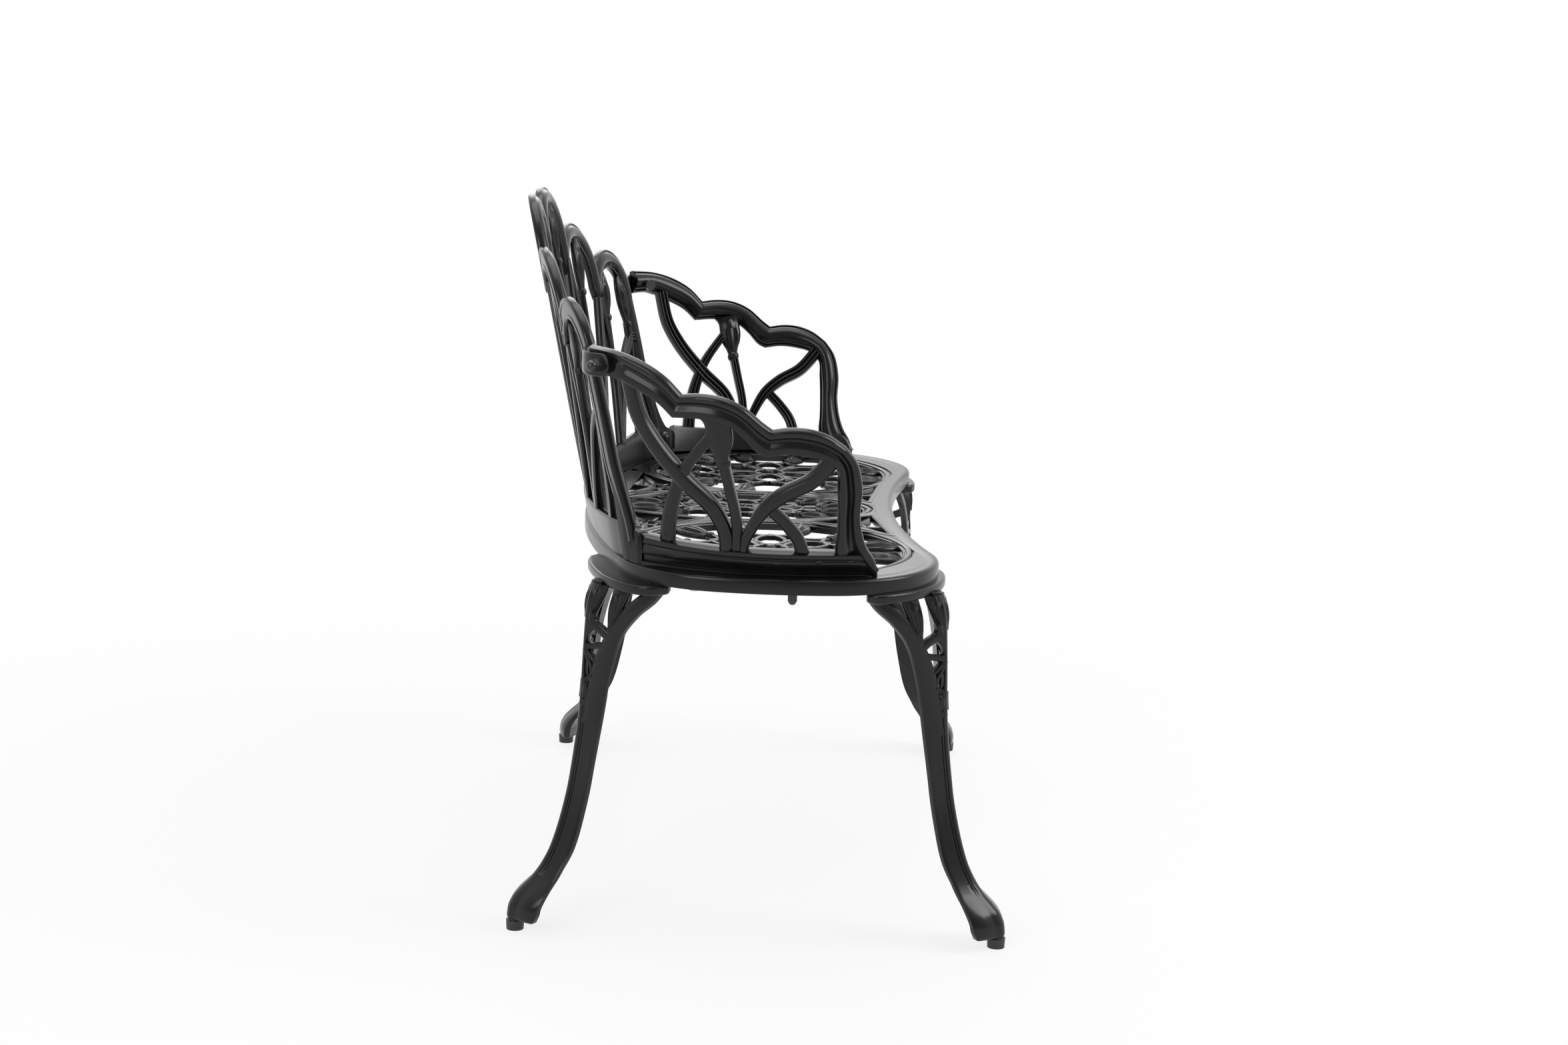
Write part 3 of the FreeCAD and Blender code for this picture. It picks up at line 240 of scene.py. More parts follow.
def block(outline, low, high, edge):
    """A plan outline raised between two heights, with small rounds at its top and bottom edges."""
    area = np.sum(outline[:, 0] * np.roll(outline[:, 1], -1) - np.roll(outline[:, 0], -1) * outline[:, 1])
    inward = sideways(outline, True) * math.copysign(1, area)
    turn = np.linspace(0, math.pi / 2, 5)
    inset = np.concatenate([edge * (1 - np.sin(turn)), edge * (1 - np.cos(turn))])
    height = np.concatenate([low + edge * (1 - np.cos(turn)), high - edge * (1 - np.sin(turn))])
    rings = outline + inward * inset[:, None, None]
    return tube(raised(rings, height[:, None]))


# Profiles of the castings' bars, as closed loops of (sideways, off the sheet)

def reed_profile(width, depth):
    """A leaf band: rounded reeds side by side on the front, a flat back with a step along each edge."""
    reeds = 3
    x = np.linspace(0.5, -0.5, 8 * reeds + 1)
    place = np.abs(((x + 0.5) * reeds) % 1 - 0.5) * 2
    front = np.stack([x, 0.16 + 0.34 * np.sqrt(np.clip(1 - place**2, 0, 1))], 1)
    rear = np.array([[-0.5, -0.24], [-0.46, -0.37], [-0.37, -0.41], [-0.325, -0.47], [-0.27, -0.5],
                     [0.27, -0.5], [0.325, -0.47], [0.37, -0.41], [0.46, -0.37], [0.5, -0.24]])
    return np.vstack([front, rear]) * [width, depth]


def stem_profile(width, depth):
    """A stem: half round in front, flat behind."""
    turn = np.linspace(-0.25, math.pi + 0.25, 15)
    front = np.stack([0.5 * np.cos(turn), 0.5 * np.sin(turn)], 1)
    return np.vstack([front, [[-0.42, -0.42], [0.42, -0.42]]]) * [width, depth]


def loop_profile(width, depth):
    """An ornament bar in the seat: a soft top, straight sides."""
    return np.array([[0.5, -0.9], [0.5, -0.22], [0.4, -0.06], [0.22, 0.0], [-0.22, 0.0], [-0.4, -0.06],
                     [-0.5, -0.22], [-0.5, -0.9]]) * [width, depth]


# Finishes

def feed(tree, node, inputs):
    """Gives a node's inputs, by name or number, their values or other nodes' outputs."""
    for key, value in inputs.items():
        if isinstance(value, bpy.types.NodeSocket):
            tree.links.new(value, node.inputs[key])
        else:
            node.inputs[key].default_value = value


def add_node(tree, kind, inputs=None, **settings):
    """A new shader node with its inputs and settings."""
    made = tree.nodes.new("ShaderNode" + kind)
    for key, value in settings.items():
        setattr(made, key, value)
    feed(tree, made, inputs or {})
    return made


def material(name, colour, roughness, metallic=0.0):
    """A node material with its shader, ready for bump and variation."""
    made = bpy.data.materials.new(name)
    made.use_nodes = True
    tree = made.node_tree
    shader = tree.nodes["Principled BSDF"]
    feed(tree, shader, {"Base Color": (*colour, 1), "Roughness": roughness, "Metallic": metallic})
    made.diffuse_color = (*colour, 1)
    return made, tree, shader


def math_node(tree, operation, first, second):
    """The result of an operation on two sockets."""
    return add_node(tree, "Math", {0: first, 1: second}, operation=operation).outputs[0]


def span_node(tree, source, low, high, start=0.0, end=1.0, kind="LINEAR"):
    """A number that goes from low to high while its source goes from start to end."""
    ends = {"From Min": start, "From Max": end, "To Min": low, "To Max": high}
    return add_node(tree, "MapRange", {"Value": source, **ends}, interpolation_type=kind).outputs["Result"]


def noise_node(tree, scale, detail):
    """Noise on the piece's own coordinates."""
    place = add_node(tree, "TexCoord").outputs["Object"]
    return add_node(tree, "TexNoise", {"Vector": place, "Scale": scale, "Detail": detail}).outputs["Fac"]


def tone_node(tree, shader, source, low, high, dark, light):
    """A shader's base colour on a ramp between two positions of a source."""
    ramp = add_node(tree, "ValToRGB", {"Fac": source})
    first, last = ramp.color_ramp.elements
    first.position, last.position = low, high
    first.color, last.color = (*dark, 1), (*light, 1)
    feed(tree, shader, {"Base Color": ramp.outputs["Color"]})


def bump_node(tree, shader, height, distance, strength):
    """Fine relief on a shader's normal."""
    bump = add_node(tree, "Bump", {"Height": height, "Distance": distance, "Strength": strength})
    feed(tree, shader, {"Normal": bump.outputs["Normal"]})


def powder_coat():
    """Black satin powder coat: a fine orange-peel surface, slightly uneven in gloss and tone."""
    made, tree, shader = material("black_powder_coat", (0.007, 0.007, 0.0073), 0.21)
    bump_node(tree, shader, noise_node(tree, 900, 2), 0.0004, 0.1)
    patches = noise_node(tree, 26, 4)
    feed(tree, shader, {"Specular IOR Level": 0.34, "Roughness": span_node(tree, patches, 0.16, 0.27)})
    tone_node(tree, shader, patches, 0.3, 0.75, (0.005, 0.005, 0.0053), (0.009, 0.009, 0.0093))
    return made


def speckled(name, colour, roughness, noise, tones, relief, metallic=0.0):
    """A material with the same noise in its tone and its relief."""
    made, tree, shader = material(name, colour, roughness, metallic)
    speckle = noise_node(tree, *noise)
    tone_node(tree, shader, speckle, *tones)
    bump_node(tree, shader, speckle, *relief)
    return made


def plated_steel():
    """Zinc plated steel, a little mottled."""
    tones = (0.3, 0.7, (0.42, 0.42, 0.43), (0.58, 0.58, 0.57))
    return speckled("zinc_plated_steel", (0.5, 0.5, 0.5), 0.35, (320, 3), tones, (0.0003, 0.1), metallic=1.0)


def black_steel():
    """Black coated steel of the screws and cap nuts that show."""
    tones = (0.3, 0.7, (0.016, 0.016, 0.017), (0.03, 0.03, 0.03))
    return speckled("black_coated_steel", (0.02, 0.02, 0.021), 0.28, (600, 3), tones, (0.0002, 0.12))


def moulded_nylon():
    """Moulded black nylon of the foot pads, faintly speckled."""
    tones = (0.35, 0.7, (0.022, 0.022, 0.022), (0.04, 0.04, 0.04))
    return speckled("moulded_nylon", (0.03, 0.03, 0.03), 0.5, (1400, 2), tones, (0.0002, 0.15))


COAT = powder_coat()
CREASE = math.radians(38)


def added(name, data):
    """A new object in the scene."""
    made = bpy.data.objects.new(name, data)
    bpy.context.scene.collection.objects.link(made)
    return made


def casting(name, shells, node, flip=False):
    """One cast piece: its shells in one mesh, in metres, that stands for a CAD node."""
    faces = []
    count = 0
    for points, polygons in shells:
        faces += [[corner + count for corner in polygon] for polygon in polygons]
        count += len(points)
    verts = np.vstack([points for points, polygons in shells]) * MM * [-1 if flip else 1, 1, 1]
    mesh = bpy.data.meshes.new(name)
    mesh.from_pydata(verts.tolist(), [], faces)
    work = bmesh.new()
    work.from_mesh(mesh)
    bmesh.ops.recalc_face_normals(work, faces=work.faces)
    work.to_mesh(mesh)
    work.free()
    mesh.shade_smooth()
    mesh.set_sharp_from_angle(angle=CREASE)
    mesh.materials.append(COAT)
    piece = added(name, mesh)
    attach(piece, "bench")
    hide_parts(node)


# Seat

SEAT_END = np.array([30.0, -30.0])
SEAT_END_RADIUS = 420.0
CORNER_RADIUS = 140.0
CORNER_REACH = SEAT_END_RADIUS - CORNER_RADIUS
FRONT_CORNER_Y = -67.0
FRONT_CORNER = np.array([SEAT_END[0] + math.sqrt(CORNER_REACH**2 - (SEAT_END[1] - FRONT_CORNER_Y)**2),
                         FRONT_CORNER_Y])
REAR_CENTRE = np.array([0.0, -890.0])
REAR_RADIUS = 1100.0
NOTCH_REACH = 170.0
NOTCH_GAP = NOTCH_REACH + FRONT_CORNER_Y
NOTCH_RADIUS = (FRONT_CORNER[0]**2 + NOTCH_GAP**2 - CORNER_RADIUS**2) / (2 * (CORNER_RADIUS - NOTCH_GAP))
SIDE_MEDALLION = np.array([262.0, -17.0])
MIDDLE_MEDALLION = np.array([0.0, 17.0])
RING_RADIUS = 160.0
OVAL_HALVES = np.array([93.0, 158.0])
RING_HALF = 9.0
RIM_WIDTH = 19.0
PLATE_TUCK = 4.0
PLATE_SPREAD = 104.0
STRIP_FROM_MIDDLE = 150.0
FRONT_STRIP_HALF, FRONT_STRIP_WIDTH = 190.0, 22.0
REAR_STRIP_HALF, REAR_STRIP_WIDTH = 250.0, 26.0


def circle_meeting(first, first_radius, second, second_radius):
    """The point where two circles cross, on the right of the way from the first centre to the second."""
    apart = second - first
    gap = np.linalg.norm(apart)
    along = (first_radius**2 - second_radius**2 + gap**2) / (2 * gap)
    aside = math.sqrt(first_radius**2 - along**2)
    unit = apart / gap
    return first + unit * along + np.array([unit[1], -unit[0]]) * aside


REAR_CORNER = circle_meeting(REAR_CENTRE, REAR_RADIUS - CORNER_RADIUS, SEAT_END, CORNER_REACH)


def facing_point(centre, target, radius):
    """The point of a circle that faces a target."""
    way = target - centre
    return centre + way / np.linalg.norm(way) * radius


def seat_outline():
    """The seat's plan outline, anticlockwise from the front: tangent arcs, mirrored."""
    front = np.array([0, -NOTCH_REACH])
    back = np.array([0, REAR_CENTRE[1] + REAR_RADIUS])
    notch_centre = front - [0, NOTCH_RADIUS]
    notch = facing_point(notch_centre, FRONT_CORNER, NOTCH_RADIUS)
    lobe = facing_point(SEAT_END, FRONT_CORNER, SEAT_END_RADIUS)
    heel = facing_point(SEAT_END, REAR_CORNER, SEAT_END_RADIUS)
    rear = facing_point(REAR_CENTRE, REAR_CORNER, REAR_RADIUS)
    right = chain(
        arc(front, facing_point(notch_centre, (front + notch) / 2, NOTCH_RADIUS), notch, 20),
        arc(notch, facing_point(FRONT_CORNER, (notch + lobe) / 2, CORNER_RADIUS), lobe, 40),
        arc(lobe, facing_point(SEAT_END, (lobe + heel) / 2, SEAT_END_RADIUS), heel, 36),
        arc(heel, facing_point(REAR_CORNER, (heel + rear) / 2, CORNER_RADIUS), rear, 24),
        arc(rear, facing_point(REAR_CENTRE, rear * [0.5, 1], REAR_RADIUS), back, 24))
    return np.vstack([right, (right * [-1, 1])[::-1][1:-1]])


def seat_sheet(spots):
    """The seat's level top."""
    return raised(spots, SEAT_TOP)


RIM = np.array([
    [0, -SKIRT], [0, -4.4], [0.4, -2.7], [1.3, -1.3], [2.7, -0.5], [4.6, -0.1], [7, 0.0], [17.6, 0.0],
    [18.6, -0.3], [RIM_WIDTH, -1.0], [RIM_WIDTH, -7], [7, -7], [7, -SKIRT]])
LEVEL_PLATE = np.array([[0.5, -9], [0.5, -0.05], [-0.5, -0.05], [-0.5, -9]])
RING = np.array([
    [-RING_HALF, 0.2], [-4.6, 0.2], [-4.0, -1.9], [-2.8, -2.2], [-1.8, -1.6], [-1.2, -0.4], [0.6, 0.1],
    [2.6, -0.1], [4.2, -0.7], [4.8, -2.2], [6.0, -2.5], [7.0, -1.9], [8.2, -2.1], [RING_HALF, -3.0],
    [RING_HALF, -10], [-RING_HALF, -10]])


def medallion(centre, half_x, half_y):
    """A pierced medallion: tulips round the edge, scallops between their collars, petals and leaves inside.

    Places are shares of the half widths at an angle. Each scallop and each side of a petal is an arc through
    three such places, a petal's sides swinging out from its middle line by the same share.
    """
    middle = (half_x + half_y) / 2
    tulips = 12
    step = 360 / tulips
    collar, crown, scallop_low, petal_tip, heart, petal_swing = 0.66, 1.03, 0.49, 0.52, 0.13, 0.115
    tulip_half = 0.092 * middle + 1.5
    leaf_half = 0.062 * middle
    wire = loop_profile(6.5, 6.5)
    shells = []

    def spot(share, degrees, aside=0.0):
        turn = math.radians(degrees)
        return centre + [half_x * (share * math.cos(turn) - aside * math.sin(turn)),
                         half_y * (share * math.sin(turn) + aside * math.cos(turn))]

    for count in range(tulips):
        degrees = step * (count + 0.5)
        foot = spot(collar, degrees)
        scallop = arc(foot, spot(scallop_low, degrees + step / 2), spot(collar, degrees + step), 14)
        shells += [tulip(seat_sheet, foot, spot(crown, degrees), tulip_half, bulge=6.5, lift=-6, rib=0.9),
                   knob(seat_sheet, foot, radius=6, height=5, lift=-4),
                   bar(seat_sheet, scallop, wire, lift=-1.6)]
        inside = step * count
        if count % 2:
            shells.append(leaf(seat_sheet, spot(heart, inside), spot(scallop_low, inside), leaf_half, 3.5,
                               back=3, lift=-4.5))
            continue
        for way in (1, -1):
            side = arc(spot(heart * 0.8, inside), spot((heart + petal_tip) / 2, inside, way * petal_swing),
                       spot(petal_tip, inside), 16)
            shells.append(bar(seat_sheet, side, wire, lift=-1.2))
    heart_line = oval(centre, heart * half_x, heart * half_y, 40)
    return shells + [bar(seat_sheet, heart_line, wire, closed=True, lift=-1.0),
                     knob(seat_sheet, centre, radius=6, height=5, lift=-3.5)]


def spandrel(corners, sides):
    """A pierced field between medallions: a level plate from its sides to a framed triangle, with ornament.

    The plate has as many points along its sides as along the triangle, and joins them in straight lines.
    """
    count = 24
    plate_top, plate_low = -0.2, -8.0
    frame_share, leaf_share, spoke_share = 1.12, 0.92, 1.1
    pairs = list(zip(corners, corners[1:] + corners[:1]))
    outer = np.vstack([arc(*side, count)[:-1] for side in sides])
    inner = np.vstack([arc(a, (a + b) / 2, b, count)[:-1] for a, b in pairs])
    height = np.array([plate_top, plate_top, plate_low, plate_low]) + SEAT_TOP
    plate = raised(np.stack([outer, inner, inner, outer]), height[:, None])
    centre = np.mean(corners, 0)
    frame_line = np.array([[2.6, -3], [2.6, -0.4], [1.6, 0.4], [-1.6, 0.4], [-2.6, -0.4], [-2.6, -3]])
    shells = [tube(np.swapaxes(plate, 0, 1), closed=True),
              bar(seat_sheet, centre + (inner - centre) * frame_share, frame_line, closed=True)]
    for corner in corners:
        tip = centre + (corner - centre) * leaf_share
        shells.append(leaf(seat_sheet, centre, tip, half_width=7, rise=3, back=6, lift=-4))
    for a, b in pairs:
        spoke = np.array([centre, centre + ((a + b) / 2 - centre) * spoke_share])
        shells.append(bar(seat_sheet, spoke, loop_profile(6, 8), lift=-3))
    return shells + [bar(seat_sheet, oval(centre, 13, 10, 32), loop_profile(5, 8), closed=True, lift=-2.6)]


def corner_plate(centre, side):
    """The seat's flat top beside a round medallion: a strip from the rim to the ring, tucked under both."""
    edge = seat_outline()
    rim = edge + (RIM_WIDTH - PLATE_TUCK) * sideways(edge, True)
    way = np.degrees(np.arctan2(rim[:, 1] - centre[1], (rim[:, 0] - centre[0]) * side))
    rim = rim[((rim[:, 0] * side) > 0) & (np.abs(way) < PLATE_SPREAD)]
    way = rim - centre
    ring = centre + (RING_RADIUS + RING_HALF - PLATE_TUCK) * way / np.linalg.norm(way, axis=1)[:, None]
    return between_edges(seat_sheet, rim, ring, LEVEL_PLATE)


def rim_plate(edge, width):
    """A level strip along a stretch of the seat's edge: from under the rim to a width inside the edge."""
    inward = sideways(edge, False)
    outer = edge + (RIM_WIDTH - PLATE_TUCK) * inward
    return between_edges(seat_sheet, outer, edge + width * inward, LEVEL_PLATE)


def seat_shells():
    """Rim and skirt with the level top inside it, three framed medallions, four spandrels."""
    edge = seat_outline()
    from_rear = np.roll(edge, len(edge) // 2, 0)
    x, y = from_rear.T
    front_edge = from_rear[(y < -STRIP_FROM_MIDDLE) & (np.abs(x) < FRONT_STRIP_HALF)]
    x, y = edge.T
    rear_edge = edge[(y > STRIP_FROM_MIDDLE) & (np.abs(x) < REAR_STRIP_HALF)]
    shells = [bar(seat_sheet, edge, RIM, closed=True), rim_plate(front_edge, FRONT_STRIP_WIDTH),
              rim_plate(rear_edge, REAR_STRIP_WIDTH)]
    for side in (1, -1):
        centre = SIDE_MEDALLION * [side, 1]
        ring = oval(centre, RING_RADIUS, RING_RADIUS, 120)
        shells += [bar(seat_sheet, ring, RING, closed=True, lift=-0.3), corner_plate(centre, side)]
        shells += medallion(centre, RING_RADIUS - RING_HALF, RING_RADIUS - RING_HALF)
    ring = oval(MIDDLE_MEDALLION, *OVAL_HALVES, 120)
    shells.append(bar(seat_sheet, ring, RING, closed=True, lift=-0.6))
    shells += medallion(MIDDLE_MEDALLION, *(OVAL_HALVES - RING_HALF))
    # Two frames with a point at each degree
    ring = oval(SIDE_MEDALLION, RING_RADIUS, RING_RADIUS, 360)
    middle = oval(MIDDLE_MEDALLION, *OVAL_HALVES, 360)
    front_tip, rear_tip = (10, -155), (12, 189)
    front = ([(52, -141), (168, -157), (105, -66)],
             [(front_tip, (100, -166), ring[258]), ring[[258, 222, 186]],
              (middle[-22], middle[-48], front_tip)])
    rear = ([(66, 163), (101, 72), (214, 150)],
            [(rear_tip, middle[50], middle[8]), ring[[160, 130, 101]], ((236, 163), (140, 180), rear_tip)])
    for corners, sides in (front, rear):
        for flip in ((1.0, 1.0), (-1.0, 1.0)):
            shells += spandrel([np.multiply(corner, flip) for corner in corners],
                               [np.multiply(line, flip) for line in sides])
    return shells


# Back

BACK_LEAN = math.radians(11.6)
BACK_RADIUS = 1130.0
BACK_Y = 200.0
POST = 368.0
BACK_DRAW_IN = 6.0
BACK_END = smooth([0, 315, POST, 400], [0, 0, 1, 1])
BACK_FOOT = smooth([-40, 20, 110, 400], [1, 1, 0, 0])
APRON_HALF = 376.0
APRON_TALL = 32.0
STEM_BEND = 5.0


def back_sag(x):
    """How far the back's curve comes forward at a distance from its middle."""
    return BACK_RADIUS - np.sqrt(BACK_RADIUS**2 - x**2)


def back_sheet(spots):
    """The back's middle surface: a cylinder, its axis upright ahead of it, leaned back about the seat's rear.

    Its lower ends draw in a little, to stay on the seat's round corners.
    """
    x, rise = spots[..., 0], spots[..., 1]
    sag = back_sag(x)
    draw_in = BACK_DRAW_IN * BACK_END(np.abs(x)) * BACK_FOOT(rise)
    return np.stack([x, BACK_Y + rise * math.sin(BACK_LEAN) - sag * math.cos(BACK_LEAN) - draw_in,
                     SEAT_TOP + rise * math.cos(BACK_LEAN) + sag * math.sin(BACK_LEAN)], -1)


def back_rim_path():
    """Centre line of the rim: a post, six lobes with sharp valleys, a post."""
    half = chain(
        arc((0, 327), (64, 375.5), (128, 296)),
        arc((128, 296), (189, 318.5), (255, 230)),
        arc((255, 230), (315, 268), (363, 204)),
        through([(363, 204), (367, 150), (POST, 100), (369, 12)], 30))
    return np.vstack([(half * [-1, 1])[::-1], half[1:]])


BACK_RIM_FRONT = np.array([
    [12.5, -4], [12.4, -0.5], [11.6, 1.2], [10.5, 1.4], [9.6, 0.6], [8.9, 1.0], [7.6, 2.9], [5.4, 4.8],
    [2.8, 5.9], [0.9, 6.2]])
BACK_RIM_REAR = np.array([
    [-12.1, -6], [-11, -7.2], [-9.6, -7.5], [-6.5, -7.5], [-6, -6.8], [6, -6.8], [6.5, -7.5], [9.6, -7.5],
    [11, -7.2], [12.1, -6]])
BACK_RIM = np.vstack([BACK_RIM_FRONT, (BACK_RIM_FRONT * [-1, 1])[::-1], BACK_RIM_REAR])
APRON = np.array([
    [-16, -6.8], [-16, 4.5], [11, 5.0], [14, 4.3], [15.6, 2.4], [16, -0.5], [15.6, -4], [14, -6.4]])
# Collar and top of each tulip of one half, and the foot of its stem
BACK_TULIPS = (
    ((64, 294), (65, 369), (64, 26)),
    ((182, 241), (189, 311), (150, 26)),
    ((275, 194), (283, 255), (236, 26)),
    ((345, 174), (338, 241), (318, 26)),
)
# Points along each reeded band of one half
BACK_BANDS = (
    ((2, 320), (30, 180), (64, 26)),
    ((127, 290), (100, 166), (64, 26)),
    ((130, 290), (151, 170), (150, 26)),
    ((253, 224), (215, 130), (150, 26)),
    ((257, 224), (264, 130), (236, 26)),
    ((368, 146), (352, 157), (326, 142), (284, 92), (237, 26)),
)


def back_shells():
    """Rim, apron, tulips on their stems and reeded bands of the back, with its ears and end plates."""
    shells = [bar(back_sheet, back_rim_path(), BACK_RIM)]
    along = np.linspace(-APRON_HALF, APRON_HALF, 70)
    low = -back_sag(along) * math.tan(BACK_LEAN)
    middle = np.stack([along, (APRON_TALL + low) / 2], 1)
    shells.append(bar(back_sheet, middle, APRON, swell=(APRON_TALL - low) / APRON_TALL))
    for flip in np.array([[1.0, 1], [-1, 1]]):
        for points in BACK_TULIPS:
            collar, top, foot = np.multiply(points, flip)
            stem = arc(collar, (collar + foot) / 2 + np.array([STEM_BEND, 0]) * flip, foot)
            shells += [tulip(back_sheet, collar, top, half_width=13.5, bulge=6.5, rib=0.9),
                       knob(back_sheet, collar, radius=6.4, height=6.2, lift=1),
                       bar(back_sheet, stem, stem_profile(9, 10), swell=np.linspace(0.85, 1.25, len(stem)))]
        for points in BACK_BANDS:
            band = through(np.multiply(points, flip), 40)
            shells.append(bar(back_sheet, band, reed_profile(12.5, 10.5), swell=np.linspace(0.9, 1.1, 40)))
    return shells + [shell for side in (1, -1) for shell in back_end_shells(side)]


# The arms' surface, and the screws that hold the arms to the back's ears

ARM_LEAN = math.radians(20)
ARM_RADIUS = 325.0
ARM_X = 430.0
ARM_Y = -30.0
ARM_FOOT_RISE = 15.0


def arm_sheet(spots):
    """The left arm's middle surface: a cylinder with its axis inside the bench, leaned outward."""
    y, rise = spots[..., 0], spots[..., 1]
    sink = 1 - np.sqrt(np.clip(1 - ((y - ARM_Y) / ARM_RADIUS)**2, 0, 1))
    x = ARM_X + (rise - ARM_FOOT_RISE) * math.tan(ARM_LEAN) - ARM_RADIUS / math.cos(ARM_LEAN) * sink
    return np.stack([x, y, SEAT_TOP + rise], -1)


SCREW = np.array([162.0, 227.0])
SCREW_SPOT = arm_sheet(SCREW[None])[0]
SCREW_TURN = math.asin((SCREW[0] - ARM_Y) / ARM_RADIUS)
SCREW_OUT = np.array([math.cos(SCREW_TURN), math.sin(SCREW_TURN)])
SCREW_BACK = np.array([-SCREW_OUT[1], SCREW_OUT[0]])


def beside_screw(out, back):
    """A plan point so far out along the screw and so far back across it."""
    return SCREW_SPOT[:2] + SCREW_OUT * out + SCREW_BACK * back


# Ends of the back

def ear_shell():
    """The left ear: a plate carried from the post round to the screw, its free end a half circle.

    Each ring is a squared circle: the cosine and sine of a turn raised to a small power.
    """
    thick, tall, power, stand_off = 9.5, 25.0, 0.35, 14.5
    post_y = back_sheet(np.array([[POST, SCREW[1]]]))[0, 1]
    path = through([(POST, post_y), (POST + 34, post_y + 3), beside_screw(stand_off, 12),
                    beside_screw(stand_off, -14)], 44)
    left = np.linalg.norm(path - path[-1], axis=1)
    half = tall / 2 * np.sqrt(np.clip(1 - np.clip(1 - left / (tall / 2), 0, 1)**2, 0.01, 1))
    turn = full_turn(28)
    wide, high = (np.sign(v) * np.abs(v)**power for v in (np.cos(turn), np.sin(turn)))
    plan = path[:, None] + sideways(path, False)[:, None] * (thick / 2 * wide)[:, None]
    return tube(raised(plan, SCREW_SPOT[2] + half[:, None] * high))


# Directions from the corner's centre in degrees, and the end plate's height there
END_PLATE = ((52, 30), (53, 34), (54.5, 36), (57, 38), (59, 44), (61, 56), (63, 76), (64.5, 96), (66, 114))
BOSS_REACH = 119.0
BOSS_WAY = math.radians(65)
END_BOSS = REAR_CORNER + BOSS_REACH * np.array([math.cos(BOSS_WAY), math.sin(BOSS_WAY)])


def back_end_shells(side):
    """One end of the back: the ear on the post, the apron's end plate and the domed boss in its corner.

    The plate is a wall of even thickness round the seat's rear corner; its top rises to the post in a hollow
    curve. The boss is a turned form.
    """
    flip = np.array([side, 1.0, 1.0])
    angles, tops = zip(*END_PLATE)
    turn = np.linspace(angles[0], angles[-1], 40)
    tall = smooth(angles, tops)(turn)[:, None]
    section = np.array([[-14, 0], [0, 0], [0, -1], [-0.9, -0.3], [-3, 0], [-11, 0], [-13.1, -0.3],
                        [-14, -1]])
    upright = np.array([0, 0, 1, 1, 1, 1, 1, 1.0])
    lean = tall * math.tan(BACK_LEAN) * smooth([52, 58, 63, 66], [0, 0.3, 0.8, 0.9])(turn)[:, None]
    radius = smooth([52, 53.5, 66], [133, 136, 138])(turn)[:, None] + section[:, 0] + upright * lean
    height = SEAT_TOP + upright * (tall + section[:, 1] * 3)
    way = np.radians(turn)[:, None]
    plan = REAR_CORNER + radius[..., None] * np.stack([np.cos(way), np.sin(way)], -1)
    shells = [ear_shell(), tube(raised(plan, height)), turned_boss(END_BOSS, radius=8.2, tall=33.5)]
    return [(verts * flip, faces) for verts, faces in shells]


def turned_boss(spot, radius, tall):
    """An upright round boss on the seat with a half-ball top: circles of changing radius, rising."""
    turn = full_turn(28)
    dome = np.linspace(0.1, 1.5, 9)
    high = np.concatenate([[0, 10, tall - radius], tall - radius + radius * np.sin(dome)])[:, None]
    wide = np.concatenate([[radius] * 3, radius * np.cos(dome)])[:, None]
    plan = spot + wide[..., None] * np.stack([np.cos(turn), np.sin(turn)], -1)
    return tube(raised(plan, SEAT_TOP + high))


# Arms

def arm_rail_edges():
    """Outer and inner edge lines: the top rail with its two valleys, then the front post down to its toe."""
    outer = chain(
        through([(178, 246), (154, 243.5), (122, 233), (100, 219.5), (83, 202.5)], 34),
        through([(83, 202.5), (64, 204.5), (41, 202.5), (18, 193), (-4, 175.5), (-13, 169)], 34),
        through([(-13, 169), (-28, 171.5), (-51, 171), (-74, 163.5), (-91.5, 151.5)], 26),
        through([(-91.5, 151.5), (-103, 136), (-110, 108), (-109.5, 73), (-113, 52), (-119, 35),
                 (-127.5, 21), (-131, 9), (-131.5, 0)], 50))
    inner = chain(
        through([(178, 216), (158, 217), (131, 205), (105, 190.5), (91, 177)], 34),
        through([(91, 177), (64, 178), (45, 175), (29, 169.5), (17.5, 160), (0, 143), (-7, 140)], 34),
        through([(-7, 140), (-29, 143), (-52, 141), (-66, 138), (-77, 133)], 26),
        through([(-77, 133), (-82.5, 124), (-84, 105), (-85.5, 73), (-85.5, 48), (-84.5, 34), (-86, 22),
                 (-94, 9), (-103, 0)], 50))
    return outer, inner


ARM_RAIL_FRONT = np.array([
    [0.5, -2.4], [0.485, 0], [0.455, 1.2], [0.425, 1.0], [0.405, 0], [0.385, 0.8], [0.34, 4], [0.26, 7],
    [0.16, 9], [0.06, 9.9]])
ARM_RAIL_REAR = np.array([
    [-0.498, -4], [-0.487, -6.4], [-0.462, -8.4], [-0.42, -9.7], [-0.36, -10], [-0.28, -9.6], [-0.21, -8.4],
    [-0.15, -6.4], [-0.11, -4.6], [-0.07, -3.8], [-0.02, -4.0], [0.04, -5.2], [0.11, -7.0], [0.18, -8.5],
    [0.26, -9.1], [0.38, -9.2], [0.43, -8.7], [0.465, -7.2], [0.49, -4.6]])
ARM_BOTTOM = np.array([
    [-15, -9.8], [-10.6, -9.8], [-9.6, -9.4], [-9.1, -8.4], [-8.8, -5.8], [-3.6, -5.6], [-3.2, -6.9],
    [-2.6, -7.6], [-1.8, -7.9], [4.6, -7.7], [5.4, -6.6], [6.4, -6.6], [7.2, -7.9], [8.4, -8.6], [12, -8.5],
    [13, -7.8], [13.3, -6], [13.3, 5], [11.5, 8.6], [8.5, 9.6], [-15, 10]])
ARM_BOTTOM_ENDS = (-129, 120)
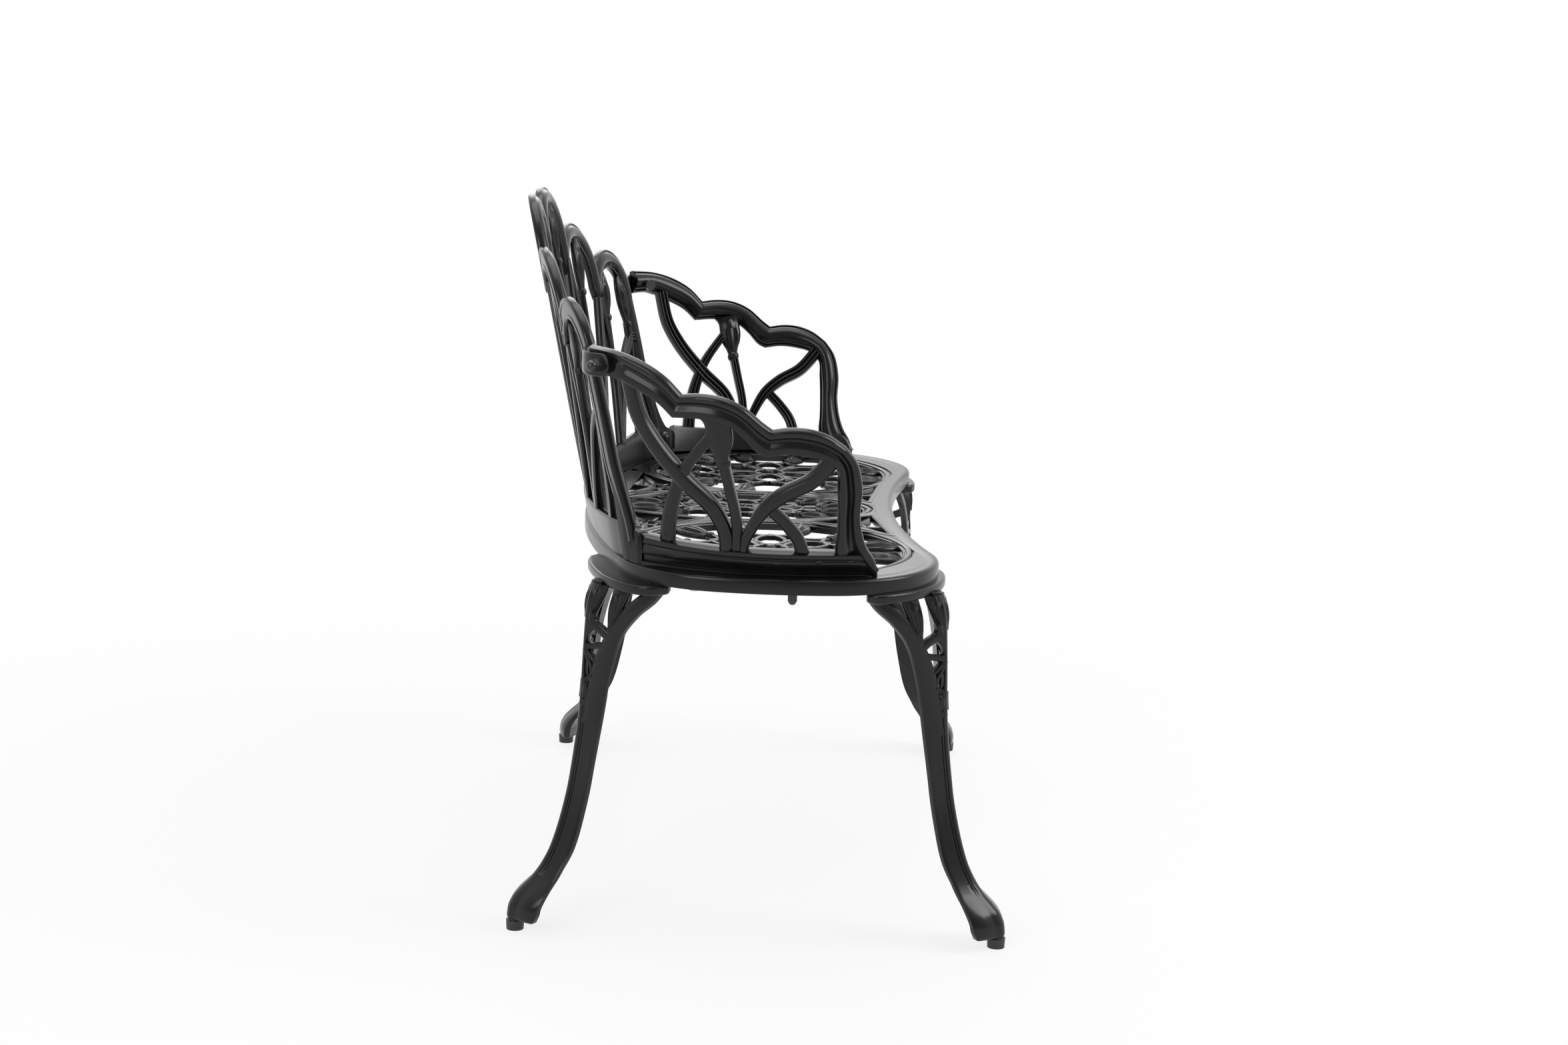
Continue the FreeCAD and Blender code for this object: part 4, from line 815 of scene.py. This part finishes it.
# Points along each band, its depth, and widths along it
ARM_BANDS = (
    (((141, 216), (129, 172), (113, 145), (81, 107), (44, 70), (33.5, 46), (32, 24)),
     14, (13, 13.5, 15, 16, 15, 14)),
    (((49, 161), (80, 114), (91.5, 78), (95.5, 50), (96.5, 24)), 10.5, (11, 12.5, 15, 15.5)),
    (((-82, 140), (-56, 111), (-28, 95), (-9, 79), (5, 56), (11.5, 40), (13.5, 24)),
     14, (16, 16, 15.5, 13, 9)),
    (((-14, 78), (-31, 61), (-44, 44), (-51, 24)), 10.5, (12.5, 13.5, 15)),
    (((37.5, 129), (30.5, 100), (22.5, 66), (20.5, 24)), 12, (11.2, 11, 11, 13)),
)
# Place of each mark, and how far off the middle surface
PIN_MARKS = ((97, 43, 5.0), (91, 68, 5.0), (-23, 17, 7.4), (-67, 20, 7.4), (-101, 21, 7.2))


def arm_shells():
    """Top rail with its flat end and front post, bottom rail, tulip, stem, bands and pin marks of an arm."""
    inward = -1
    flat_level, sunk_from, sunk_share = -9.5, -0.16, 0.6
    outer, inner = arm_rail_edges()
    front = np.vstack([ARM_RAIL_FRONT, (ARM_RAIL_FRONT * [-1, 1])[::-1]])
    rail = np.vstack([front, ARM_RAIL_REAR])
    flat_end = np.vstack([front, np.minimum(ARM_RAIL_REAR, [[1, flat_level]])])
    share = smooth([83, 143, 148, 178], [0, 0, 1, 1])(inner[:, 0])[:, None, None]
    sunk = ARM_RAIL_REAR * np.where(ARM_RAIL_REAR[:, :1] > sunk_from, [1, sunk_share], 1)
    foot = smooth([0, 24, 40, 250], [1, 1, 0, 0])(outer[:, 1])[:, None, None]
    profile = rail * (1 - share - foot) + flat_end * share + np.vstack([front, sunk]) * foot
    shells = [between_edges(arm_sheet, outer, inner, profile, inward)]
    along = np.linspace(*ARM_BOTTOM_ENDS, 60)
    rise = smooth([-129, -112, 30, 80, 120], [0.4, 1, 1.03, 1.12, 1.28])(along)
    shells.append(bar(arm_sheet, np.stack([along, ARM_FOOT_RISE * rise], 1), ARM_BOTTOM, inward, swell=rise))
    for points, depth, widths in ARM_BANDS:
        widen = smooth(np.linspace(0, 1, len(widths)), widths)(np.linspace(0, 1, 44))
        shells.append(bar(arm_sheet, through(points, 44), reed_profile(1, depth), inward, swell=widen))
    shells += [tulip(arm_sheet, (38, 130), (46, 180), 14.3, 7, inward, shares=TULIP_SHARES, back=6),
               knob(arm_sheet, (37.5, 127), 7.8, 7.5, inward, lift=0.5)]
    return shells + [knob(arm_sheet, (y, high), 3.2, 0.7, inward, lift=-off) for y, high, off in PIN_MARKS]


# Legs

HALF_VEE = math.radians(55)
FLANGE_LOW = 392.0
FLANGE_OUTSIDE, FLANGE_INSIDE, FLANGE_ROUND = 8.0, 22.0, 3.0
FRONT_KNEE, FRONT_TURN, FRONT_FLANGE = 166.4, -64, (-105, -24)
REAR_KNEE, REAR_TURN, REAR_FLANGE = 181.0, 69, (34, 111)
REAR_BULGE = 15.0
LEG_SWEEP = smooth([13, 16, 26, 38, 48, 60, 74, 93, 131, 173, 266, 330, 366, 394],
                   [83, 84.6, 83.9, 78.6, 69.5, 56, 45, 35, 23, 14, 3, 0, -2.5, -9])
WEB_WIDTH = smooth([13, 26, 38, 48, 60, 74, 93, 131, 173, 266, 320, 341, 365, 383, 396],
                   [38, 42.5, 42, 38.5, 33, 30, 30, 28.6, 28, 33, 44, 52, 70, 87, 95])


def web_sheet(knee, side):
    """One web of a leg: length along the web from the leg's outer corner, and height.

    The corner follows the leg's sweep, and the web runs straight back from it at half the V's angle.
    """
    def sheet(spots):
        along, height = spots[..., 0], spots[..., 1]
        return np.stack([knee + LEG_SWEEP(height) - along * math.cos(HALF_VEE),
                         side * along * math.sin(HALF_VEE), height], -1)
    return sheet


def vee_rings(knee, heights, widths, wall, nose, groove=0.0, bulge=0.0, fill=0.0):
    """V-shaped rings: a round corner, a beaded line along it, outer faces, rounded ends and an inner corner.

    Each ring lies level. groove is the depth of the line, bulge swells the faces, and fill moves the inner
    corner from the wall's own corner (0) to the line between the ends (1).
    """
    column = heights[:, None]
    ends, wall, nose, groove, bulge, fill = (np.asarray(value, float).reshape(-1, 1) + 0 * column
                                             for value in (widths, wall, nose, groove, bulge, fill))
    line_steps, face_shares = (1.4, 2.0, 2.7, 3.6, 4.5, 5.2, 5.8), (0.2, 0.5, 0.8)
    face_start, face_margin = 6.5, 8
    half = math.pi / 2 - HALF_VEE
    turn = np.linspace(-half, half, 9)
    reach = knee + LEG_SWEEP(column)
    back, side = -math.cos(HALF_VEE), math.sin(HALF_VEE)
    out_x, out_y = math.sin(HALF_VEE), math.cos(HALF_VEE)
    start = nose * math.tan(half)
    middle = ends - start - face_margin
    along = np.concatenate([start + step for step in line_steps]
                           + [start + face_start + middle * share for share in face_shares]
                           + [ends - 1.2, ends - 0.3, ends, ends], 1)
    along = np.minimum(along, ends)
    flat = 0 * ends
    depth = np.concatenate([flat, -groove, 0.2 * groove, 0.5 * groove, 0.2 * groove, -groove, flat,
                            0.7 * bulge, bulge, 0.6 * bulge, flat, flat - 0.4, flat - 1.3, -wall], 1)
    face_x = reach + along * back + depth * out_x
    face_y = along * side + depth * out_y
    inner = (reach - wall / math.sin(HALF_VEE)) * (1 - fill) + (face_x[:, -1:] - 1) * fill
    corner = reach - nose / math.cos(half) + nose * np.cos(turn)
    xs = np.concatenate([corner, face_x, inner, face_x[:, ::-1]], 1)
    ys = np.concatenate([nose * np.sin(turn), face_y, 0 * inner, -face_y[:, ::-1]], 1)
    return np.stack([xs, ys, np.broadcast_to(column, xs.shape)], -1)


# Points along each bar of a web, and its width
WEB_BARS = (
    (((9, 348), (20, 344), (31, 337), (38, 331)), 10),
    (((4, 322), (17, 324), (34, 328)), 7.2),
    (((5, 317), (13, 310), (25, 302)), 5.2),
    (((4, 318), (6.5, 310), (12.5, 301), (15, 288)), 5),
    (((4, 283), (11, 287), (22, 291)), 6),
    (((8, 286), (7.5, 276), (7, 264)), 6),
)
# Base and tip of each petal, its half width and its lift
PETALS = (
    ((9, 352), (13, 393), 10.5, -1.5),
    ((35, 342), (44, 393), 11, -2),
)
PETAL_SHARES = smooth([0, 0.12, 0.3, 0.55, 0.8, 1.0], [0.34, 0.4, 0.62, 0.86, 1.0, 1.04])


def flange_shell(edge, bulge=0.0):
    """A leg's flange under a stretch of the seat's edge: a plate from outside the edge to inside it.

    Its ends are rounded, and a bulge moves the middle of its outer side further out.
    """
    end_share, end_power, bulge_power = 0.97, 16, 4
    inward = sideways(edge, False)
    along = np.linspace(-1, 1, len(edge))[:, None]
    middle = edge + (FLANGE_INSIDE - FLANGE_OUTSIDE) / 2 * inward
    half = (FLANGE_INSIDE + FLANGE_OUTSIDE) / 2 * np.sqrt(1 - end_share * np.abs(along)**end_power)
    outer = middle - (half + bulge * (1 - along**bulge_power)) * inward
    inner = middle + half * inward
    return block(np.vstack([outer, inner[::-1]]), FLANGE_LOW, SEAT_TOP - SKIRT, FLANGE_ROUND)


def edge_stretch(corner, start, end):
    """The points of the seat's edge seen from a corner's centre between two directions in degrees."""
    edge = seat_outline()
    way = np.degrees(np.arctan2(*(edge - corner).T[::-1]))
    return edge[(edge[:, 0] > 0) & (way > start) & (way < end)]


def leg_shells(knee):
    """Hoof and grooved shank, knee stem, framed and pierced webs, and petals under the flange."""
    sole_rings = [13, 13.5, 14.6, 16.5, 19]
    heights = np.concatenate([sole_rings, np.linspace(22, 100, 34), np.linspace(106, 270, 26)])
    sole = smooth(sole_rings + [270], [3.0, 1.5, 0.6, 0.1, 0, 0])(heights)
    wall, stem_wall, stem_nose, strip_half = 8.0, 6.5, 5.0, 9.2
    nose = smooth([13, 30, 45, 60, 80, 270], [8, 12, 12, 9, 6.5, 6.5])(heights)
    groove = smooth([13, 56, 72, 270], [0, 0, 0.9, 0.9])(heights)
    bulge = smooth([13, 20, 32, 44, 62, 270], [0.4, 1.8, 2.6, 1.8, 0, 0])(heights)
    fill = smooth([13, 42, 62, 270], [1, 1, 0, 0])(heights)
    stem = np.linspace(256, 396, 40)
    widths = smooth([256, 270, 284, 300, 325, 334, 341, 348, 356, 382, 396],
                    [31, 13, 6, 4.6, 4.6, 6.5, 13, 17, 13, 12.5, 14])(stem)
    shells = [tube(vee_rings(knee, heights, WEB_WIDTH(heights) - sole, wall, nose, groove, bulge, fill)),
              tube(vee_rings(knee, stem, widths, stem_wall, stem_nose))]
    edge = np.linspace(234, 397, 44)
    wide = smooth([234, 300, 340, 397], [1.42, 1.3, 1.05, 1.0])(edge)
    arch = np.stack([WEB_WIDTH(edge) - 0.2, edge], 1)
    middle = arch + sideways(arch, False) * (strip_half * wide)[:, None]
    strip = np.array([
        [strip_half, -1.6], [8.8, -0.5], [7.6, 0.2], [3, 0.8], [-3, 0.8], [-7.6, 0.2], [-8.8, -0.5],
        [-strip_half, -1.6], [-strip_half, -7.5], [strip_half, -7.5]])
    flare = smooth([0, 0.2, 0.8, 1], [1.35, 1, 1, 1.35])(np.linspace(0, 1, 18))
    for side in (1, -1):
        web = web_sheet(knee, side)
        shells.append(bar(web, middle, strip, side, swell=wide, lift=-0.3))
        for points, width in WEB_BARS:
            path = through(points, len(flare))
            shells.append(bar(web, path, loop_profile(width, 7.5), side, swell=flare, lift=0.2))
        shells.append(leaf(web, (8, 283), (7, 262), 4.6, 2.5, side, lift=-0.6))
        for base, tip, half_width, lift in PETALS:
            shells.append(tulip(web, base, tip, half_width, 4.5, side, PETAL_SHARES, lift=lift, rib=0.9))
    return shells


def turned_leg(shells, corner, degrees):
    """A leg's shells turned about the vertical and moved to its corner of the seat."""
    turn = math.radians(degrees)
    spin = np.array([[math.cos(turn), math.sin(turn), 0], [-math.sin(turn), math.cos(turn), 0], [0, 0, 1]])
    return [(verts @ spin + [*corner, 0], faces) for verts, faces in shells]


casting("seat_casting", seat_shells(), "seat_panel")
casting("back_casting", back_shells(), "backrest")
casting("left_arm_casting", arm_shells(), "left_arm")
casting("right_arm_casting", arm_shells(), "right_arm", flip=True)
front_leg = turned_leg(leg_shells(FRONT_KNEE), FRONT_CORNER, FRONT_TURN)
front_leg.append(flange_shell(edge_stretch(FRONT_CORNER, *FRONT_FLANGE)))
rear_leg = turned_leg(leg_shells(REAR_KNEE), REAR_CORNER, REAR_TURN)
rear_leg.append(flange_shell(edge_stretch(REAR_CORNER, *REAR_FLANGE), REAR_BULGE))
casting("front_left_leg_casting", front_leg, "front_left_leg")
casting("front_right_leg_casting", front_leg, "front_right_leg", flip=True)
casting("rear_left_leg_casting", rear_leg, "rear_left_leg")
casting("rear_right_leg_casting", rear_leg, "rear_right_leg", flip=True)

# Finishes of the small parts that stay as they are

SMALL_FINISHES = {"coated_fastener": black_steel(), "zinc_steel": plated_steel(), "nylon": moulded_nylon()}
for subpart in frame["record"]["subparts"]:
    finish = SMALL_FINISHES.get(subpart["material_slot"])
    if finish:
        small = frame["nodes"][subpart["node"]]
        small.data.materials.clear()
        small.data.materials.append(finish)


# Camera at the photograph's place

def view_axes(ahead):
    """Unit vectors to the right of a direction and upward from it."""
    right = np.cross(ahead, [0, 0, 1])
    right /= np.linalg.norm(right)
    return right, np.cross(right, ahead)


def aimed(name, data, right, up, ahead, spot):
    """A camera or a light in the scene, at a spot, with its directions to the right, up and ahead."""
    made = added(name, data)
    made.matrix_world = Matrix([[right[i], up[i], -ahead[i], spot[i]] for i in range(3)] + [[0, 0, 0, 1]])
    return made


CAMERA_SPOT = (-3.2591, 0.0105, 1.0074)
YAW, PITCH, ROLL = -0.0140, 0.1846, 0.0333
FOCAL_PIXELS, FRAME_WIDTH = 4000, 2352
SENSOR_WIDTH = 36
ahead = np.array([math.cos(PITCH) * math.cos(YAW), math.cos(PITCH) * math.sin(YAW), -math.sin(PITCH)])
level, above = view_axes(ahead)
camera_x = level * math.cos(ROLL) + above * math.sin(ROLL)
camera_y = above * math.cos(ROLL) - level * math.sin(ROLL)
lens = bpy.data.cameras.new("camera")
lens.sensor_width = SENSOR_WIDTH
lens.lens = SENSOR_WIDTH * FOCAL_PIXELS / FRAME_WIDTH
bpy.context.scene.camera = aimed("camera", lens, camera_x, camera_y, ahead, CAMERA_SPOT)


# Floor, light and world

def seen_directly(tree, low, high):
    """A number that is high for camera, glossy and transmission rays, and low for diffuse light."""
    rays = add_node(tree, "LightPath").outputs
    seen = math_node(tree, "MAXIMUM", rays["Is Camera Ray"], rays["Is Glossy Ray"])
    seen = math_node(tree, "MAXIMUM", seen, rays["Is Transmission Ray"])
    return span_node(tree, seen, low, high)


def pale_floor():
    """A pale floor: it shows white away from the bench, and keeps the bench's soft shadow near it."""
    made, tree, shader = material("pale_floor", (0.86, 0.86, 0.86), 0.7)
    feed(tree, shader, {"Specular IOR Level": 0.0})
    glow = add_node(tree, "Emission", {"Color": (1, 1, 1, 1), "Strength": 1.0})
    place = add_node(tree, "TexCoord").outputs["Object"]
    far = add_node(tree, "VectorMath", {0: place}, operation="LENGTH").outputs["Value"]
    edge = span_node(tree, far, 0.80, 1.0, start=0.3, end=1.9, kind="SMOOTHSTEP")
    share = math_node(tree, "MULTIPLY", seen_directly(tree, 0.0, 1.0), edge)
    mix = add_node(tree, "MixShader", {0: share, 1: shader.outputs[0], 2: glow.outputs[0]})
    feed(tree, tree.nodes["Material Output"], {"Surface": mix.outputs[0]})
    return made


def floor_sheet():
    """A level square far wider than the bench."""
    half = 14.0
    mesh = bpy.data.meshes.new("floor")
    corners = [(-half, -half, 0), (half, -half, 0), (half, half, 0), (-half, half, 0)]
    mesh.from_pydata(corners, [], [(0, 1, 2, 3)])
    mesh.materials.append(pale_floor())
    floor = added("floor", mesh)


def soft_light(name, spot, target, size, power):
    """A square soft box at a place, turned to a target."""
    lamp = bpy.data.lights.new(name, "AREA")
    lamp.size = size
    lamp.energy = power
    way = np.subtract(target, spot)
    way /= np.linalg.norm(way)
    aimed(name, lamp, *view_axes(way), way, spot)


def white_world():
    """White to the camera, dimmer in reflections on the camera's side, half as bright in diffuse light."""
    world = bpy.data.worlds.new("studio")
    bpy.context.scene.world = world
    world.use_nodes = True
    tree = world.node_tree
    place = add_node(tree, "TexCoord").outputs["Generated"]
    across = add_node(tree, "SeparateXYZ", {0: place}).outputs["X"]
    side = span_node(tree, across, 0.3, 1.0, start=-0.95, end=0.1, kind="SMOOTHSTEP")
    light = math_node(tree, "MULTIPLY", seen_directly(tree, 0.5, 1.0), side)
    rays = add_node(tree, "LightPath").outputs
    strength = math_node(tree, "MAXIMUM", light, rays["Is Camera Ray"])
    feed(tree, tree.nodes["Background"], {"Color": (1, 1, 1, 1), "Strength": strength})


floor_sheet()
white_world()
soft_light("key_light", (-0.4, -2.7, 2.5), (0, 0, 0.4), size=1.6, power=50)
soft_light("fill_light", (-2.6, 1.6, 1.8), (0, 0, 0.4), size=1.6, power=30)
soft_light("top_light", (0.4, 0.2, 3.2), (0, 0, 0.4), size=2.2, power=34)
soft_light("back_light", (3.4, 0.4, 2.3), (0, 0, 0.5), size=2.0, power=24)
bpy.context.scene.view_settings.view_transform = "Standard"
